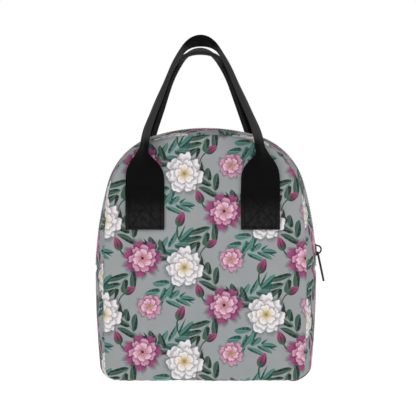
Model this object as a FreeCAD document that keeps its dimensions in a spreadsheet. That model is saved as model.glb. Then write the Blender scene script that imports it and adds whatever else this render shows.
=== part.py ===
import FreeCAD, Part
import math
import os
import Sketcher

# A soft insulated lunch bag with an arched top. Its front and back panels are joined by a gusset
# that runs round the base, the sides and the top, and bellies out between the two seams. A zip
# runs along the middle of the gusset's upper part, so that the front panel's upper part folds
# forward as a flap. Each panel carries a webbing handle.
# Millimetres. +Z is up, the front faces -Y, and the origin is on the floor under the bag's middle.

Vector = FreeCAD.Vector
doc = FreeCAD.newDocument("lunch_bag")
sheet = doc.addObject("Spreadsheet::Sheet", "Sizes")

SIZES = [
    # Outline of the front and back panels at their seams.
    ("panel_width", 200.0),
    ("panel_height", 242.5),
    ("panel_side_radius", 650.0),
    ("panel_lower_radius", 2000.0),
    ("panel_shoulder_radius", 64.0),
    ("panel_top_radius", 230.0),
    ("panel_corner_radius", 18.0),
    ("panel_edge_round", 4.0),
    # Outline of the gusset where it is fullest, halfway between the panels.
    ("crest_width", 226.0),
    ("crest_height", 253.0),
    ("crest_side_radius", 340.0),
    ("crest_lower_radius", 900.0),
    ("crest_shoulder_radius", 70.0),
    ("crest_top_radius", 180.0),
    ("crest_corner_radius", 24.0),
    ("bag_depth", 130.0),
    ("belly_height", 104.0),
    ("panel_base_rise", 1.2),
    ("base_flat", 0.3),
    # Layers of every wall, from the outside in.
    ("cover_wall", 1.0),
    ("foam_wall", 4.0),
    ("lining_wall", 0.5),
    # Cross seam where the zip strips meet the lower band, and the fold that the flap turns on.
    ("seam_height", 110.0),
    ("fold_gap", 0.3),
    # Zip: window between the covers, tapes, coils.
    ("zip_window", 13.0),
    ("zip_facing_gap", 16.0),
    ("zip_gap", 1.2),
    ("tape_width", 15.0),
    ("tape_wall", 0.8),
    ("tape_clearance", 0.1),
    ("coil_width", 2.2),
    ("coil_proud", 0.2),
    ("coil_left_start", 118.0),
    # Binding over the raw seam inside each panel's edge.
    ("binding_width", 8.0),
    ("binding_wall", 1.6),
    ("binding_clearance", 0.1),
    # Slider at rest near the lower end of the right side.
    ("slider_height", 128.5),
    ("slider_length", 12.5),
    ("slider_width", 8.6),
    ("slider_nose_width", 7.6),
    ("slider_plate", 0.8),
    ("slider_web", 0.6),
    ("slider_web_length", 4.5),
    ("slider_clearance", 0.45),
    ("slider_mouth", 0.95),
    ("bridge_lift", 0.6),
    ("bridge_radius", 4.2),
    ("bridge_bar", 1.1),
    ("bridge_width", 2.4),
    # Pull on the slider's bridge.
    ("pull_length", 31.0),
    ("pull_width", 6.0),
    ("pull_tip_width", 4.4),
    ("pull_thickness", 1.0),
    ("pull_eye_wall", 1.2),
    ("pull_clearance", 0.4),
    ("pull_splay", 7.0),
    # End stop on the rear tape, under the slider.
    ("stop_length", 2.0),
    ("stop_width", 2.4),
    ("stop_proud", 0.4),
    # Handles: webbing ends sewn flat on the panels, folded in half above for the grip.
    ("webbing_width", 38.0),
    ("webbing_wall", 2.2),
    ("handle_spacing", 113.0),
    ("handle_end_bottom", 149.0),
    ("handle_hinge_height", 198.0),
    ("handle_clearance", 0.4),
    ("handle_bend_height", 214.0),
    ("handle_bend_radius", 190.0),
    ("handle_leg_slope", 33.0),
    ("handle_top_radius", 17.0),
    ("handle_lean", 18.0),
    ("handle_lean_start", 230.0),
    ("handle_lean_span", 36.0),
    ("handle_leg_turn", 78.0),
    ("handle_fold_start", 199.0),
    ("handle_fold_end", 228.0),
    ("handle_turn_start", 203.0),
    ("handle_turn_end", 238.0),
    # Box-and-cross stitching on each handle end.
    ("stitch_width", 0.9),
    ("stitch_proud", 0.4),
    ("stitch_box_width", 32.0),
    ("stitch_top_gap", 10.0),
    ("stitch_box_inset", 3.0),
]

for row, (alias, value) in enumerate(SIZES, start=1):
    sheet.set("A%d" % row, alias)
    sheet.set("B%d" % row, str(value))
    sheet.setAlias("B%d" % row, alias)
doc.recompute()
size = {alias: float(sheet.get(alias)) for alias, value in SIZES}


def amount(names):
    """Sum of named sizes; a leading minus subtracts."""
    return sum(-size[name[1:]] if name[0] == "-" else size[name] for name in names)


def formula(names):
    """The same sum as an expression on the sheet."""
    terms = ["- Sizes." + name[1:] if name[0] == "-" else "+ Sizes." + name for name in names]
    return "(0 " + " ".join(terms) + ")"


# Wall depths that several pieces share, measured in from the outer face.
SKIN = []
COVER = ["cover_wall"]
TAPE_FACE = ["cover_wall", "tape_clearance"]
TAPE = TAPE_FACE + ["tape_wall"]
FOAM = ["cover_wall", "foam_wall"]
LINING = ["cover_wall", "foam_wall", "lining_wall"]
BINDING_OUT = LINING + ["binding_clearance"]
BINDING_IN = BINDING_OUT + ["binding_wall"]
STACK = formula(LINING)
INNER_FACE = "(Sizes.bag_depth / 2 - %s)" % STACK


def outline_centres(kind, floor):
    """Centres of the right-hand arcs of an outline: corner, lower side, upper side, shoulder, top."""
    half = size[kind + "_width"] / 2
    belly = size["belly_height"]
    lower = (half - size[kind + "_lower_radius"], belly)
    upper = (half - size[kind + "_side_radius"], belly)
    top = (0.0, size[kind + "_height"] - size[kind + "_top_radius"])
    corner_radius = size[kind + "_corner_radius"]
    corner_z = floor + corner_radius
    reach = size[kind + "_lower_radius"] - corner_radius
    corner = (lower[0] + math.sqrt(reach ** 2 - (belly - corner_z) ** 2), corner_z)
    # The shoulder touches the side and the top from inside.
    from_upper = size[kind + "_side_radius"] - size[kind + "_shoulder_radius"]
    from_top = size[kind + "_top_radius"] - size[kind + "_shoulder_radius"]
    across = (top[0] - upper[0], top[1] - upper[1])
    span = math.hypot(*across)
    along = (from_upper ** 2 - from_top ** 2 + span ** 2) / (2 * span)
    aside = math.sqrt(from_upper ** 2 - along ** 2)
    unit = (across[0] / span, across[1] / span)
    shoulder = (
        upper[0] + along * unit[0] - aside * unit[1],
        upper[1] + along * unit[1] + aside * unit[0],
    )
    return corner, lower, upper, shoulder, top


def angle_from(start, end):
    return math.atan2(end[1] - start[1], end[0] - start[0])


def draw_outline(sketch, kind, inset, floor):
    """Fill a sketch with the closed arched outline, set in by the named walls from the outer one."""
    corner, lower, upper, shoulder, top = outline_centres(kind, amount(floor))
    deep = amount(inset)
    low_turn = angle_from(lower, corner)
    high_turn = angle_from(upper, shoulder)
    top_turn = angle_from(top, shoulder)
    right = [
        (corner, "corner", -math.pi / 2, low_turn),
        (lower, "lower", low_turn, 0.0),
        (upper, "side", 0.0, high_turn),
        (shoulder, "shoulder", high_turn, top_turn),
    ]
    base = amount(floor) + deep
    start = Vector(-corner[0], base, 0)
    sketch.addGeometry(Part.LineSegment(start, Vector(corner[0], base, 0)), False)
    arcs = list(right)
    arcs.append((top, "top", top_turn, math.pi - top_turn))
    for centre, name, low, high in reversed(right):
        arcs.append(((-centre[0], centre[1]), name, math.pi - high, math.pi - low))
    for centre, name, low, high in arcs:
        radius = size[kind + "_" + name + "_radius"] - deep
        circle = Part.Circle(Vector(centre[0], centre[1], 0), Vector(0, 0, 1), radius)
        sketch.addGeometry(Part.ArcOfCircle(circle, low, high), False)
    count = len(arcs) + 1
    for index in range(count):
        sketch.addConstraint(Sketcher.Constraint("Tangent", index, 2, (index + 1) % count, 1))

    def bind(rule, name, text):
        sketch.renameConstraint(sketch.addConstraint(rule), name)
        sketch.setExpression("Constraints." + name, text)

    set_in = formula(inset)
    for index, (centre, name, low, high) in enumerate(arcs, start=1):
        radius = size[kind + "_" + name + "_radius"] - deep
        rule = Sketcher.Constraint("Radius", index, radius)
        bind(rule, "radius_%d" % index, "Sizes.%s_%s_radius - %s" % (kind, name, set_in))
    rule = Sketcher.Constraint("DistanceY", -1, 1, 0, 1, base)
    bind(rule, "base_line", "%s + %s" % (formula(floor), set_in))
    sides = [(2, 1), (8, -1)]
    for index, side in sides:
        away = size[kind + "_lower_radius"] - size[kind + "_width"] / 2
        text = "Sizes.%s_lower_radius - Sizes.%s_width / 2" % (kind, kind)
        first, second = ((index, 3), (-1, 1)) if side > 0 else ((-1, 1), (index, 3))
        rule = Sketcher.Constraint("DistanceX", first[0], first[1], second[0], second[1], away)
        bind(rule, "side_centre_%d" % index, text)
    for index in (2, 3, 7, 8):
        rule = Sketcher.Constraint("DistanceY", -1, 1, index, 3, size["belly_height"])
        bind(rule, "belly_%d" % index, "Sizes.belly_height")
    sketch.addConstraint(Sketcher.Constraint("PointOnObject", 5, 3, -2))
    crown = size[kind + "_height"] - size[kind + "_top_radius"]
    if crown >= 0:
        rule = Sketcher.Constraint("DistanceY", -1, 1, 5, 3, crown)
        bind(rule, "crown", "Sizes.%s_height - Sizes.%s_top_radius" % (kind, kind))
    else:
        rule = Sketcher.Constraint("DistanceY", 5, 3, -1, 1, -crown)
        bind(rule, "crown", "Sizes.%s_top_radius - Sizes.%s_height" % (kind, kind))


UPRIGHT = FreeCAD.Rotation(Vector(1, 0, 0), 90)


def arch(name, kind, inset, floor, place):
    """An upright outline sketch at a place along the depth."""
    sketch = doc.addObject("Sketcher::SketchObject", name)
    sketch.Placement = FreeCAD.Placement(Vector(0, 0, 0), UPRIGHT)
    draw_outline(sketch, kind, inset, floor)
    sketch.setExpression("Placement.Base.y", place)
    return sketch


def slab(name, across, deep, up):
    """A box between named planes; each pair of texts gives the low and the high plane."""
    box = doc.addObject("Part::Box", name)
    pairs = [("Length", "x", across), ("Width", "y", deep), ("Height", "z", up)]
    for extent, axis, (low, high) in pairs:
        box.setExpression(extent, "(%s) - (%s)" % (high, low))
        box.setExpression("Placement.Base." + axis, low)
    return box


def cut(name, base, tool):
    piece = doc.addObject("Part::Cut", name)
    piece.Base = base
    piece.Tool = tool
    return piece


def common(name, base, tool):
    piece = doc.addObject("Part::Common", name)
    piece.Base = base
    piece.Tool = tool
    return piece


def fuse(name, shapes):
    piece = doc.addObject("Part::MultiFuse", name)
    piece.Shapes = shapes
    return piece


def group(name, shapes):
    piece = doc.addObject("Part::Compound", name)
    piece.Links = shapes
    return piece


def mirror(name, source, normal):
    piece = doc.addObject("Part::Mirroring", name)
    piece.Source = source
    piece.Base = Vector(0, 0, 0)
    piece.Normal = normal
    return piece


def extrude(name, sketch, length):
    """Stretch an upright outline towards the back by a length."""
    piece = doc.addObject("Part::Extrusion", name)
    piece.Base = sketch
    piece.DirMode = "Custom"
    piece.Dir = Vector(0, 1, 0)
    piece.Solid = True
    piece.setExpression("LengthFwd", length)
    return piece


# Zones that divide the bag: below the cross seam, the flap above it, and the rear above it.
WIDE = ("-Sizes.crest_width", "Sizes.crest_width")
ALL_DEPTH = ("-Sizes.bag_depth", "Sizes.bag_depth")
BELOW = ("0", "Sizes.seam_height")
FLAP_UP = ("Sizes.seam_height + Sizes.fold_gap", "Sizes.crest_height * 2")
REAR_UP = ("Sizes.seam_height", "Sizes.crest_height * 2")
below_zone = slab("below_zone", WIDE, ALL_DEPTH, BELOW)
flap_zone = slab("flap_zone", WIDE, ALL_DEPTH, FLAP_UP)

# Gusset: each wall is the room between two swells, drawn through the front seam, the crest and
# the back seam. The base is trimmed flat.
GUSSET_FLOOR = ["-base_flat"]


def swell(name, inset):
    sections = [
        arch(name + "_front", "panel", inset, GUSSET_FLOOR, "-" + INNER_FACE),
        arch(name + "_crest", "crest", inset, GUSSET_FLOOR, "0"),
        arch(name + "_back", "panel", inset, GUSSET_FLOOR, INNER_FACE),
    ]
    loft = doc.addObject("Part::Loft", name)
    loft.Sections = sections
    loft.Solid = True
    loft.Ruled = False
    return loft


skin_swell = swell("skin_swell", SKIN)
cover_swell = swell("cover_swell", COVER)
tape_face_swell = swell("tape_face_swell", TAPE_FACE)
tape_swell = swell("tape_swell", TAPE)
foam_swell = swell("foam_swell", FOAM)
lining_swell = swell("lining_swell", LINING)
cover_ring = cut("cover_ring", skin_swell, cover_swell)
tape_ring = cut("tape_ring", tape_face_swell, tape_swell)
rebate_ring = cut("rebate_ring", cover_swell, tape_swell)
foam_ring = cut("foam_ring", cover_swell, foam_swell)
lining_ring = cut("lining_ring", foam_swell, lining_swell)

base_band_cover = common("base_band_cover", cover_ring, below_zone)
base_band_foam = common("base_band_foam", foam_ring, below_zone)
base_band_lining = common("base_band_lining", lining_ring, below_zone)

# Zip strips: the gusset above the cross seam, on each side of the zip. The foam is rebated for
# the tape, which is sewn under the cover's edge.
WINDOW = "Sizes.zip_window / 2"
FACING = "Sizes.zip_facing_gap / 2"
TAPE_EDGE = "Sizes.zip_gap / 2"
TAPE_BACK = "(Sizes.zip_gap / 2 + Sizes.tape_width)"
REBATE = "(%s + Sizes.tape_clearance)" % TAPE_BACK
rebate_zone = slab("rebate_zone", WIDE, ("-" + REBATE, REBATE), REAR_UP)
rebate = common("rebate", rebate_ring, rebate_zone)


def zip_strip(side, near, far, up):
    """Cover, foam, lining and tape of one strip; near and far order a plane pair along the depth."""
    def zone(name, edge):
        return slab("%s_%s_zone" % (side, name), WIDE, near(edge), up)

    cover = common(side + "_zip_facing_cover", cover_ring, zone("cover", WINDOW))
    foam_whole = common(side + "_foam_whole", foam_ring, zone("foam", FACING))
    foam = cut(side + "_zip_facing_foam", foam_whole, rebate)
    lining = common(side + "_zip_facing_lining", lining_ring, zone("lining", FACING))
    tape_zone = slab(side + "_tape_zone", WIDE, far(TAPE_EDGE, TAPE_BACK), up)
    tape = common(side + "_zipper_tape", tape_ring, tape_zone)
    return cover, foam, lining, tape


front_strip = zip_strip(
    "front",
    lambda edge: ("-Sizes.bag_depth", "-(%s)" % edge),
    lambda edge, back: ("-%s" % back, "-(%s)" % edge),
    FLAP_UP,
)
rear_strip = zip_strip(
    "rear",
    lambda edge: (edge, "Sizes.bag_depth"),
    lambda edge, back: (edge, back),
    REAR_UP,
)

# Zip coils: narrow strips on the tapes' inner edges, following the crest. They end above the
# slider on the right, where the zip is open, and at the tape's tail on the left.
COIL_BACK = "(Sizes.zip_gap / 2 + Sizes.coil_width)"
coil_outer_arch = arch("coil_outer_arch", "crest", ["-coil_proud"], GUSSET_FLOOR, "-" + COIL_BACK)
coil_inner_arch = arch("coil_inner_arch", "crest", TAPE_FACE, GUSSET_FLOOR, "-" + COIL_BACK)
coil_outer = extrude("coil_outer", coil_outer_arch, "2 * " + COIL_BACK)
coil_inner = extrude("coil_inner", coil_inner_arch, "2 * " + COIL_BACK)
coil_ring = cut("coil_ring", coil_outer, coil_inner)
COIL_UP = ("Sizes.coil_left_start", "Sizes.crest_height * 2")
COIL_RIGHT = "Sizes.slider_height + Sizes.slider_length / 2 + 2 * Sizes.slider_clearance"
coil_open_zone = slab("coil_open_zone", ("0", "Sizes.crest_width"), ALL_DEPTH, ("0", COIL_RIGHT))
coil_run = cut("coil_run", coil_ring, coil_open_zone)
front_coil_zone = slab("front_coil_zone", WIDE, ("-" + COIL_BACK, "-" + TAPE_EDGE), COIL_UP)
rear_coil_zone = slab("rear_coil_zone", WIDE, (TAPE_EDGE, COIL_BACK), COIL_UP)
front_zipper_coil = common("front_zipper_coil", coil_run, front_coil_zone)
rear_zipper_coil = common("rear_zipper_coil", coil_run, rear_coil_zone)

# Panels: a cover wraps the foam's rounded edge, and the lining closes it inside. The front panel
# is divided at the fold; the back panel is the same shape, mirrored and left whole.
PANEL_FLOOR = ["panel_base_rise"]


def panel_block(name, inset, front, back, round_text):
    """A block of the panel's outline with a rounded front edge."""
    body = doc.addObject("PartDesign::Body", name)
    plane = [item for item in body.Origin.OriginFeatures if item.Role == "XZ_Plane"][0]
    sketch = body.newObject("Sketcher::SketchObject", name + "_outline")
    sketch.AttachmentSupport = [(plane, "")]
    sketch.MapMode = "FlatFace"
    sketch.setExpression("AttachmentOffset.Base.z", front)
    draw_outline(sketch, "panel", inset, PANEL_FLOOR)
    pad = body.newObject("PartDesign::Pad", name + "_pad")
    pad.Profile = sketch
    pad.Reversed = True
    pad.setExpression("Length", "(%s) - (%s)" % (front, back))
    doc.recompute()
    face_y = pad.Shape.BoundBox.YMin
    rim = []
    for index, edge in enumerate(pad.Shape.Edges, start=1):
        if edge.BoundBox.YMax < face_y + 0.001:
            rim.append("Edge%d" % index)
    fillet = body.newObject("PartDesign::Fillet", name + "_round")
    fillet.Base = (pad, rim)
    fillet.setExpression("Radius", round_text)
    body.Tip = fillet
    return body


FRONT_FACE = "Sizes.bag_depth / 2"
FOAM_FACE = "(Sizes.bag_depth / 2 - Sizes.cover_wall)"
LINING_FACE = "(Sizes.bag_depth / 2 - Sizes.cover_wall - Sizes.foam_wall)"
ROUND = "Sizes.panel_edge_round"
panel_shell = panel_block("panel_shell", SKIN, FRONT_FACE, INNER_FACE, ROUND)
panel_core = panel_block("panel_core", COVER, FOAM_FACE, INNER_FACE, ROUND + " - Sizes.cover_wall")
panel_tray = cut("panel_tray", panel_shell, panel_core)
HIGH = ("-Sizes.crest_height", "Sizes.crest_height * 2")
foam_layer = slab("foam_layer", WIDE, ("-" + FOAM_FACE, "-" + LINING_FACE), HIGH)
lining_layer = slab("lining_layer", WIDE, ("-" + LINING_FACE, "-" + INNER_FACE), HIGH)
panel_foam = common("panel_foam", panel_core, foam_layer)
panel_lining = common("panel_lining", panel_core, lining_layer)

front_flap_cover = common("front_flap_cover", panel_tray, flap_zone)
front_flap_foam = common("front_flap_foam", panel_foam, flap_zone)
front_flap_lining = common("front_flap_lining", panel_lining, flap_zone)
lower_front_cover = common("lower_front_cover", panel_tray, below_zone)
lower_front_foam = common("lower_front_foam", panel_foam, below_zone)
lower_front_lining = common("lower_front_lining", panel_lining, below_zone)
BACKWARD = Vector(0, 1, 0)
back_panel_cover = mirror("back_panel_cover", panel_tray, BACKWARD)
back_panel_foam = mirror("back_panel_foam", panel_foam, BACKWARD)
back_panel_lining = mirror("back_panel_lining", panel_lining, BACKWARD)

# Binding: a folded tape over the seam allowance, standing just inside each panel's edge.
binding_outer_arch = arch("binding_outer_arch", "panel", BINDING_OUT, PANEL_FLOOR, "-" + INNER_FACE)
binding_inner_arch = arch("binding_inner_arch", "panel", BINDING_IN, PANEL_FLOOR, "-" + INNER_FACE)
binding_outer = extrude("binding_outer", binding_outer_arch, "Sizes.binding_width")
binding_inner = extrude("binding_inner", binding_inner_arch, "Sizes.binding_width")
binding_ring = cut("binding_ring", binding_outer, binding_inner)
flap_seam_binding = common("flap_seam_binding", binding_ring, flap_zone)
lower_front_seam_binding = common("lower_front_seam_binding", binding_ring, below_zone)
back_seam_binding = mirror("back_seam_binding", binding_ring, BACKWARD)

# Slider, in its own axes: X out of the bag, Y across the zip, Z up the zip, origin on the outer
# face of the gusset's crest. It straddles both tapes and clears the coils by a named amount.
TAPE_TOP = "-" + formula(TAPE_FACE)
TAPE_UNDER = "-" + formula(TAPE)
SLOT_TOP = "(%s + Sizes.slider_mouth)" % TAPE_TOP
SLOT_UNDER = "(%s - Sizes.slider_clearance)" % TAPE_UNDER
ROOF_UNDER = "(Sizes.coil_proud + Sizes.slider_clearance)"
ROOF_TOP = "(%s + Sizes.slider_plate)" % ROOF_UNDER
FLOOR_UNDER = "(%s - Sizes.slider_plate)" % SLOT_UNDER
TAIL = "-Sizes.slider_length / 2"
NOSE = "Sizes.slider_length / 2"


def slider_plate(name, low, high):
    """A plate that narrows towards the nose, with its corners rounded."""
    body = doc.addObject("PartDesign::Body", name)
    plane = [item for item in body.Origin.OriginFeatures if item.Role == "YZ_Plane"][0]
    sketch = body.newObject("Sketcher::SketchObject", name + "_outline")
    sketch.AttachmentSupport = [(plane, "")]
    sketch.MapMode = "FlatFace"
    sketch.setExpression("AttachmentOffset.Base.z", low)
    tail = size["slider_width"] / 2
    nose = size["slider_nose_width"] / 2
    end = size["slider_length"] / 2
    points = [Vector(-tail, -end, 0), Vector(tail, -end, 0), Vector(nose, end, 0), Vector(-nose, end, 0)]
    for index in range(4):
        sketch.addGeometry(Part.LineSegment(points[index], points[(index + 1) % 4]), False)
    for index in range(4):
        sketch.addConstraint(Sketcher.Constraint("Coincident", index, 2, (index + 1) % 4, 1))
    rules = [
        (Sketcher.Constraint("Symmetric", 0, 1, 0, 2, -2), None, None),
        (Sketcher.Constraint("Symmetric", 2, 1, 2, 2, -2), None, None),
        (Sketcher.Constraint("DistanceX", 0, 1, 0, 2, tail * 2), "tail", "Sizes.slider_width"),
        (Sketcher.Constraint("DistanceX", 2, 2, 2, 1, nose * 2), "nose", "Sizes.slider_nose_width"),
        (Sketcher.Constraint("DistanceY", 0, 1, -1, 1, end), "below", NOSE),
        (Sketcher.Constraint("DistanceY", -1, 1, 2, 1, end), "above", NOSE),
    ]
    for rule, label, text in rules:
        index = sketch.addConstraint(rule)
        if label:
            sketch.renameConstraint(index, label)
            sketch.setExpression("Constraints." + label, text)
    pad = body.newObject("PartDesign::Pad", name + "_pad")
    pad.Profile = sketch
    pad.setExpression("Length", "(%s) - (%s)" % (high, low))
    doc.recompute()
    upright = []
    for index, edge in enumerate(pad.Shape.Edges, start=1):
        if edge.BoundBox.XLength > 0.001:
            upright.append("Edge%d" % index)
    fillet = body.newObject("PartDesign::Fillet", name + "_corners")
    fillet.Base = (pad, upright)
    fillet.setExpression("Radius", "Sizes.slider_plate")
    body.Tip = fillet
    return body


roof = slider_plate("slider_roof", SLOT_TOP, ROOF_TOP)
HALF_COIL = "(%s + Sizes.slider_clearance)" % COIL_BACK
coil_channel = slab(
    "slider_channel", (SLOT_TOP + " - Sizes.slider_plate", ROOF_UNDER), ("-" + HALF_COIL, HALF_COIL),
    ("-Sizes.slider_length", "Sizes.slider_length"),
)
roof_open = cut("slider_roof_open", roof, coil_channel)
floor_plate = slider_plate("slider_floor", FLOOR_UNDER, SLOT_UNDER)
WEB = "Sizes.slider_web / 2"
web = slab(
    "slider_post", (SLOT_UNDER + " - Sizes.slider_plate / 2", ROOF_UNDER + " + Sizes.slider_plate / 2"),
    ("-" + WEB, WEB), (NOSE + " - Sizes.slider_web_length - Sizes.slider_plate",
                       NOSE + " - Sizes.slider_plate"),
)

# Bridge: a half ring of flat bar on two short feet, which the pull slides round.
BRIDGE_MID = "(%s + Sizes.bridge_lift)" % ROOF_TOP
BRIDGE_OUT = "(Sizes.bridge_radius + Sizes.bridge_bar / 2)"
BRIDGE_IN = "(Sizes.bridge_radius - Sizes.bridge_bar / 2)"


def half_disc(name, radius, width, extra):
    """A half round about the bridge's middle, on straight feet that reach down into the roof."""
    disc = doc.addObject("Part::Cylinder", name + "_disc")
    disc.setExpression("Radius", radius)
    disc.setExpression("Height", width)
    disc.Placement = FreeCAD.Placement(Vector(0, 0, 0), FreeCAD.Rotation(Vector(1, 0, 0), -90))
    disc.setExpression("Placement.Base.x", BRIDGE_MID)
    disc.setExpression("Placement.Base.y", "-(%s) / 2" % width)
    feet = slab(
        name + "_feet", ("%s - Sizes.slider_plate / 2 - (%s)" % (ROOF_TOP, extra), BRIDGE_MID),
        ("-(%s) / 2" % width, "(%s) / 2" % width), ("-" + radius, radius),
    )
    below = slab(
        name + "_below", (BRIDGE_MID + " - 2 * Sizes.bridge_radius - 2 * Sizes.bridge_bar", BRIDGE_MID),
        ("-(%s)" % width, width), ("-2 * " + radius, "2 * " + radius),
    )
    dome = cut(name + "_dome", disc, below)
    return fuse(name, [dome, feet])


bridge_outer = half_disc("bridge_outer", BRIDGE_OUT, "Sizes.bridge_width", "0")
bridge_inner = half_disc("bridge_inner", BRIDGE_IN, "(2 * Sizes.bridge_width)", "Sizes.slider_plate")
bridge = cut("bridge", bridge_outer, bridge_inner)
zipper_slider = fuse("zipper_slider", [roof_open, floor_plate, web, bridge])

# The slider stands on the crest's upper side arc, turned with it.
SIDE_TURN = "asin((Sizes.slider_height - Sizes.belly_height) / Sizes.crest_side_radius)"
ARC_X = "(Sizes.crest_width / 2 - Sizes.crest_side_radius)"
ACROSS = Vector(0, -1, 0)


def on_side_arc(piece, out, turn, extra):
    """Set a piece made in the slider's axes on the side arc, a distance out and turned a bit more."""
    piece.Placement = FreeCAD.Placement(Vector(0, 0, 0), FreeCAD.Rotation(ACROSS, 10))
    reach = "(Sizes.crest_side_radius + %s)" % out
    piece.setExpression("Placement.Base.x", "%s + %s * cos(%s)" % (ARC_X, reach, turn))
    piece.setExpression("Placement.Base.z", "Sizes.belly_height + %s * sin(%s)" % (reach, turn))
    piece.setExpression("Placement.Rotation.Angle", "%s + %s" % (turn, extra))


on_side_arc(zipper_slider, "0", SIDE_TURN, "0 deg")

# Pull: a flat tab whose eye rides round the bridge's bar. Its origin is the bridge's middle, and
# its length runs along its own X axis, so it is set at the splay that its rest pose has.
EYE_IN = "(%s - Sizes.pull_clearance)" % BRIDGE_IN
EYE_OUT = "(%s + Sizes.pull_clearance)" % BRIDGE_OUT
EYE_HALF = "(Sizes.bridge_width / 2 + Sizes.pull_clearance)"
tab = doc.addObject("PartDesign::Body", "pull_tab")
tab_plane = [item for item in tab.Origin.OriginFeatures if item.Role == "XY_Plane"][0]
tab_sketch = tab.newObject("Sketcher::SketchObject", "pull_tab_outline")
tab_sketch.AttachmentSupport = [(tab_plane, "")]
tab_sketch.MapMode = "FlatFace"
tab_head = size["bridge_radius"] - size["bridge_bar"] / 2 - size["pull_clearance"] - size["pull_eye_wall"]
tab_end = tab_head + size["pull_length"]
tab_wide = size["pull_width"] / 2
tab_tip = size["pull_tip_width"] / 2
tab_points = [
    Vector(tab_head, -tab_wide, 0), Vector(tab_end, -tab_tip, 0),
    Vector(tab_end, tab_tip, 0), Vector(tab_head, tab_wide, 0),
]
for index in range(4):
    tab_sketch.addGeometry(Part.LineSegment(tab_points[index], tab_points[(index + 1) % 4]), False)
for index in range(4):
    tab_sketch.addConstraint(Sketcher.Constraint("Coincident", index, 2, (index + 1) % 4, 1))
HEAD = EYE_IN + " - Sizes.pull_eye_wall"
tab_rules = [
    (Sketcher.Constraint("Symmetric", 1, 1, 1, 2, -1), None, None),
    (Sketcher.Constraint("Symmetric", 3, 1, 3, 2, -1), None, None),
    (Sketcher.Constraint("DistanceX", -1, 1, 3, 1, tab_head), "head", HEAD),
    (Sketcher.Constraint("DistanceX", -1, 1, 1, 1, tab_end), "end", HEAD + " + Sizes.pull_length"),
    (Sketcher.Constraint("DistanceY", 3, 2, 3, 1, tab_wide * 2), "wide", "Sizes.pull_width"),
    (Sketcher.Constraint("DistanceY", 1, 1, 1, 2, tab_tip * 2), "tip", "Sizes.pull_tip_width"),
]
for rule, label, text in tab_rules:
    index = tab_sketch.addConstraint(rule)
    if label:
        tab_sketch.renameConstraint(index, label)
        tab_sketch.setExpression("Constraints." + label, text)
tab_pad = tab.newObject("PartDesign::Pad", "pull_tab_pad")
tab_pad.Profile = tab_sketch
tab_pad.Midplane = True
tab_pad.setExpression("Length", "Sizes.pull_thickness")
doc.recompute()
tab_corners = []
for index, edge in enumerate(tab_pad.Shape.Edges, start=1):
    if edge.BoundBox.ZLength > 0.001:
        tab_corners.append("Edge%d" % index)
tab_round = tab.newObject("PartDesign::Fillet", "pull_tab_corners")
tab_round.Base = (tab_pad, tab_corners)
tab_round.setExpression("Radius", "Sizes.pull_eye_wall")
tab.Tip = tab_round
THICK = "Sizes.pull_thickness"
eye = slab("pull_eye", (EYE_IN, EYE_OUT), ("-" + EYE_HALF, EYE_HALF), ("-" + THICK, THICK))
zipper_pull = cut("zipper_pull", tab, eye)
on_side_arc(zipper_pull, BRIDGE_MID, SIDE_TURN, "Sizes.pull_splay * 1 deg - 90 deg")

# End stop: a small block clamped on the rear tape just under the slider.
STOP_TOP = TAIL + " - Sizes.slider_clearance"
stop_block = slab(
    "stop_block", (TAPE_TOP, "Sizes.stop_proud"), (TAPE_EDGE, TAPE_EDGE + " + Sizes.stop_width"),
    (STOP_TOP + " - Sizes.stop_length", STOP_TOP),
)
zipper_end_stop = group("zipper_end_stop", [stop_block])
on_side_arc(zipper_end_stop, "0", SIDE_TURN, "0 deg")

# Handle ends: webbing sewn flat on the panel, one on each side of the middle.
END_LEFT = "Sizes.handle_spacing / 2 - Sizes.webbing_width / 2"
END_RIGHT = "Sizes.handle_spacing / 2 + Sizes.webbing_width / 2"
END_OUT = "(Sizes.bag_depth / 2 + Sizes.webbing_wall)"
end_right = slab(
    "handle_end_right", (END_LEFT, END_RIGHT), ("-" + END_OUT, "-Sizes.bag_depth / 2"),
    ("Sizes.handle_end_bottom", "Sizes.handle_hinge_height - Sizes.handle_clearance"),
)
SIDEWAYS = Vector(1, 0, 0)
end_left = mirror("handle_end_left", end_right, SIDEWAYS)
front_handle_ends = group("front_handle_ends", [end_right, end_left])
back_handle_ends = mirror("back_handle_ends", front_handle_ends, BACKWARD)

# Stitching: a sewn box with a cross in it near each end's lower edge.
STITCH_DEEP = ("-%s - Sizes.stitch_proud" % END_OUT, "-" + END_OUT)
BOX_LOW = "Sizes.handle_end_bottom + Sizes.stitch_box_inset"
BOX_HIGH = "Sizes.handle_hinge_height - Sizes.stitch_top_gap"
BOX_LEFT = "Sizes.handle_spacing / 2 - Sizes.stitch_box_width / 2"
BOX_RIGHT = "Sizes.handle_spacing / 2 + Sizes.stitch_box_width / 2"
stitch_frame_out = slab("stitch_frame_out", (BOX_LEFT, BOX_RIGHT), STITCH_DEEP, (BOX_LOW, BOX_HIGH))
stitch_frame_in = slab(
    "stitch_frame_in", (BOX_LEFT + " + Sizes.stitch_width", BOX_RIGHT + " - Sizes.stitch_width"),
    STITCH_DEEP, (BOX_LOW + " + Sizes.stitch_width", BOX_HIGH + " - Sizes.stitch_width"),
)
stitch_frame = cut("stitch_frame", stitch_frame_out, stitch_frame_in)
diagonal = doc.addObject("Part::Box", "stitch_diagonal")
RISE = "(%s - (%s) - Sizes.stitch_width)" % (BOX_HIGH, BOX_LOW)
RUN = "(Sizes.stitch_box_width - Sizes.stitch_width)"
diagonal.Placement = FreeCAD.Placement(Vector(0, 0, 0), FreeCAD.Rotation(Vector(0, -1, 0), 45))
diagonal.setExpression("Length", "sqrt(%s ^ 2 + %s ^ 2)" % (RISE, RUN))
diagonal.setExpression("Width", "Sizes.stitch_proud")
diagonal.setExpression("Height", "Sizes.stitch_width")
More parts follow.
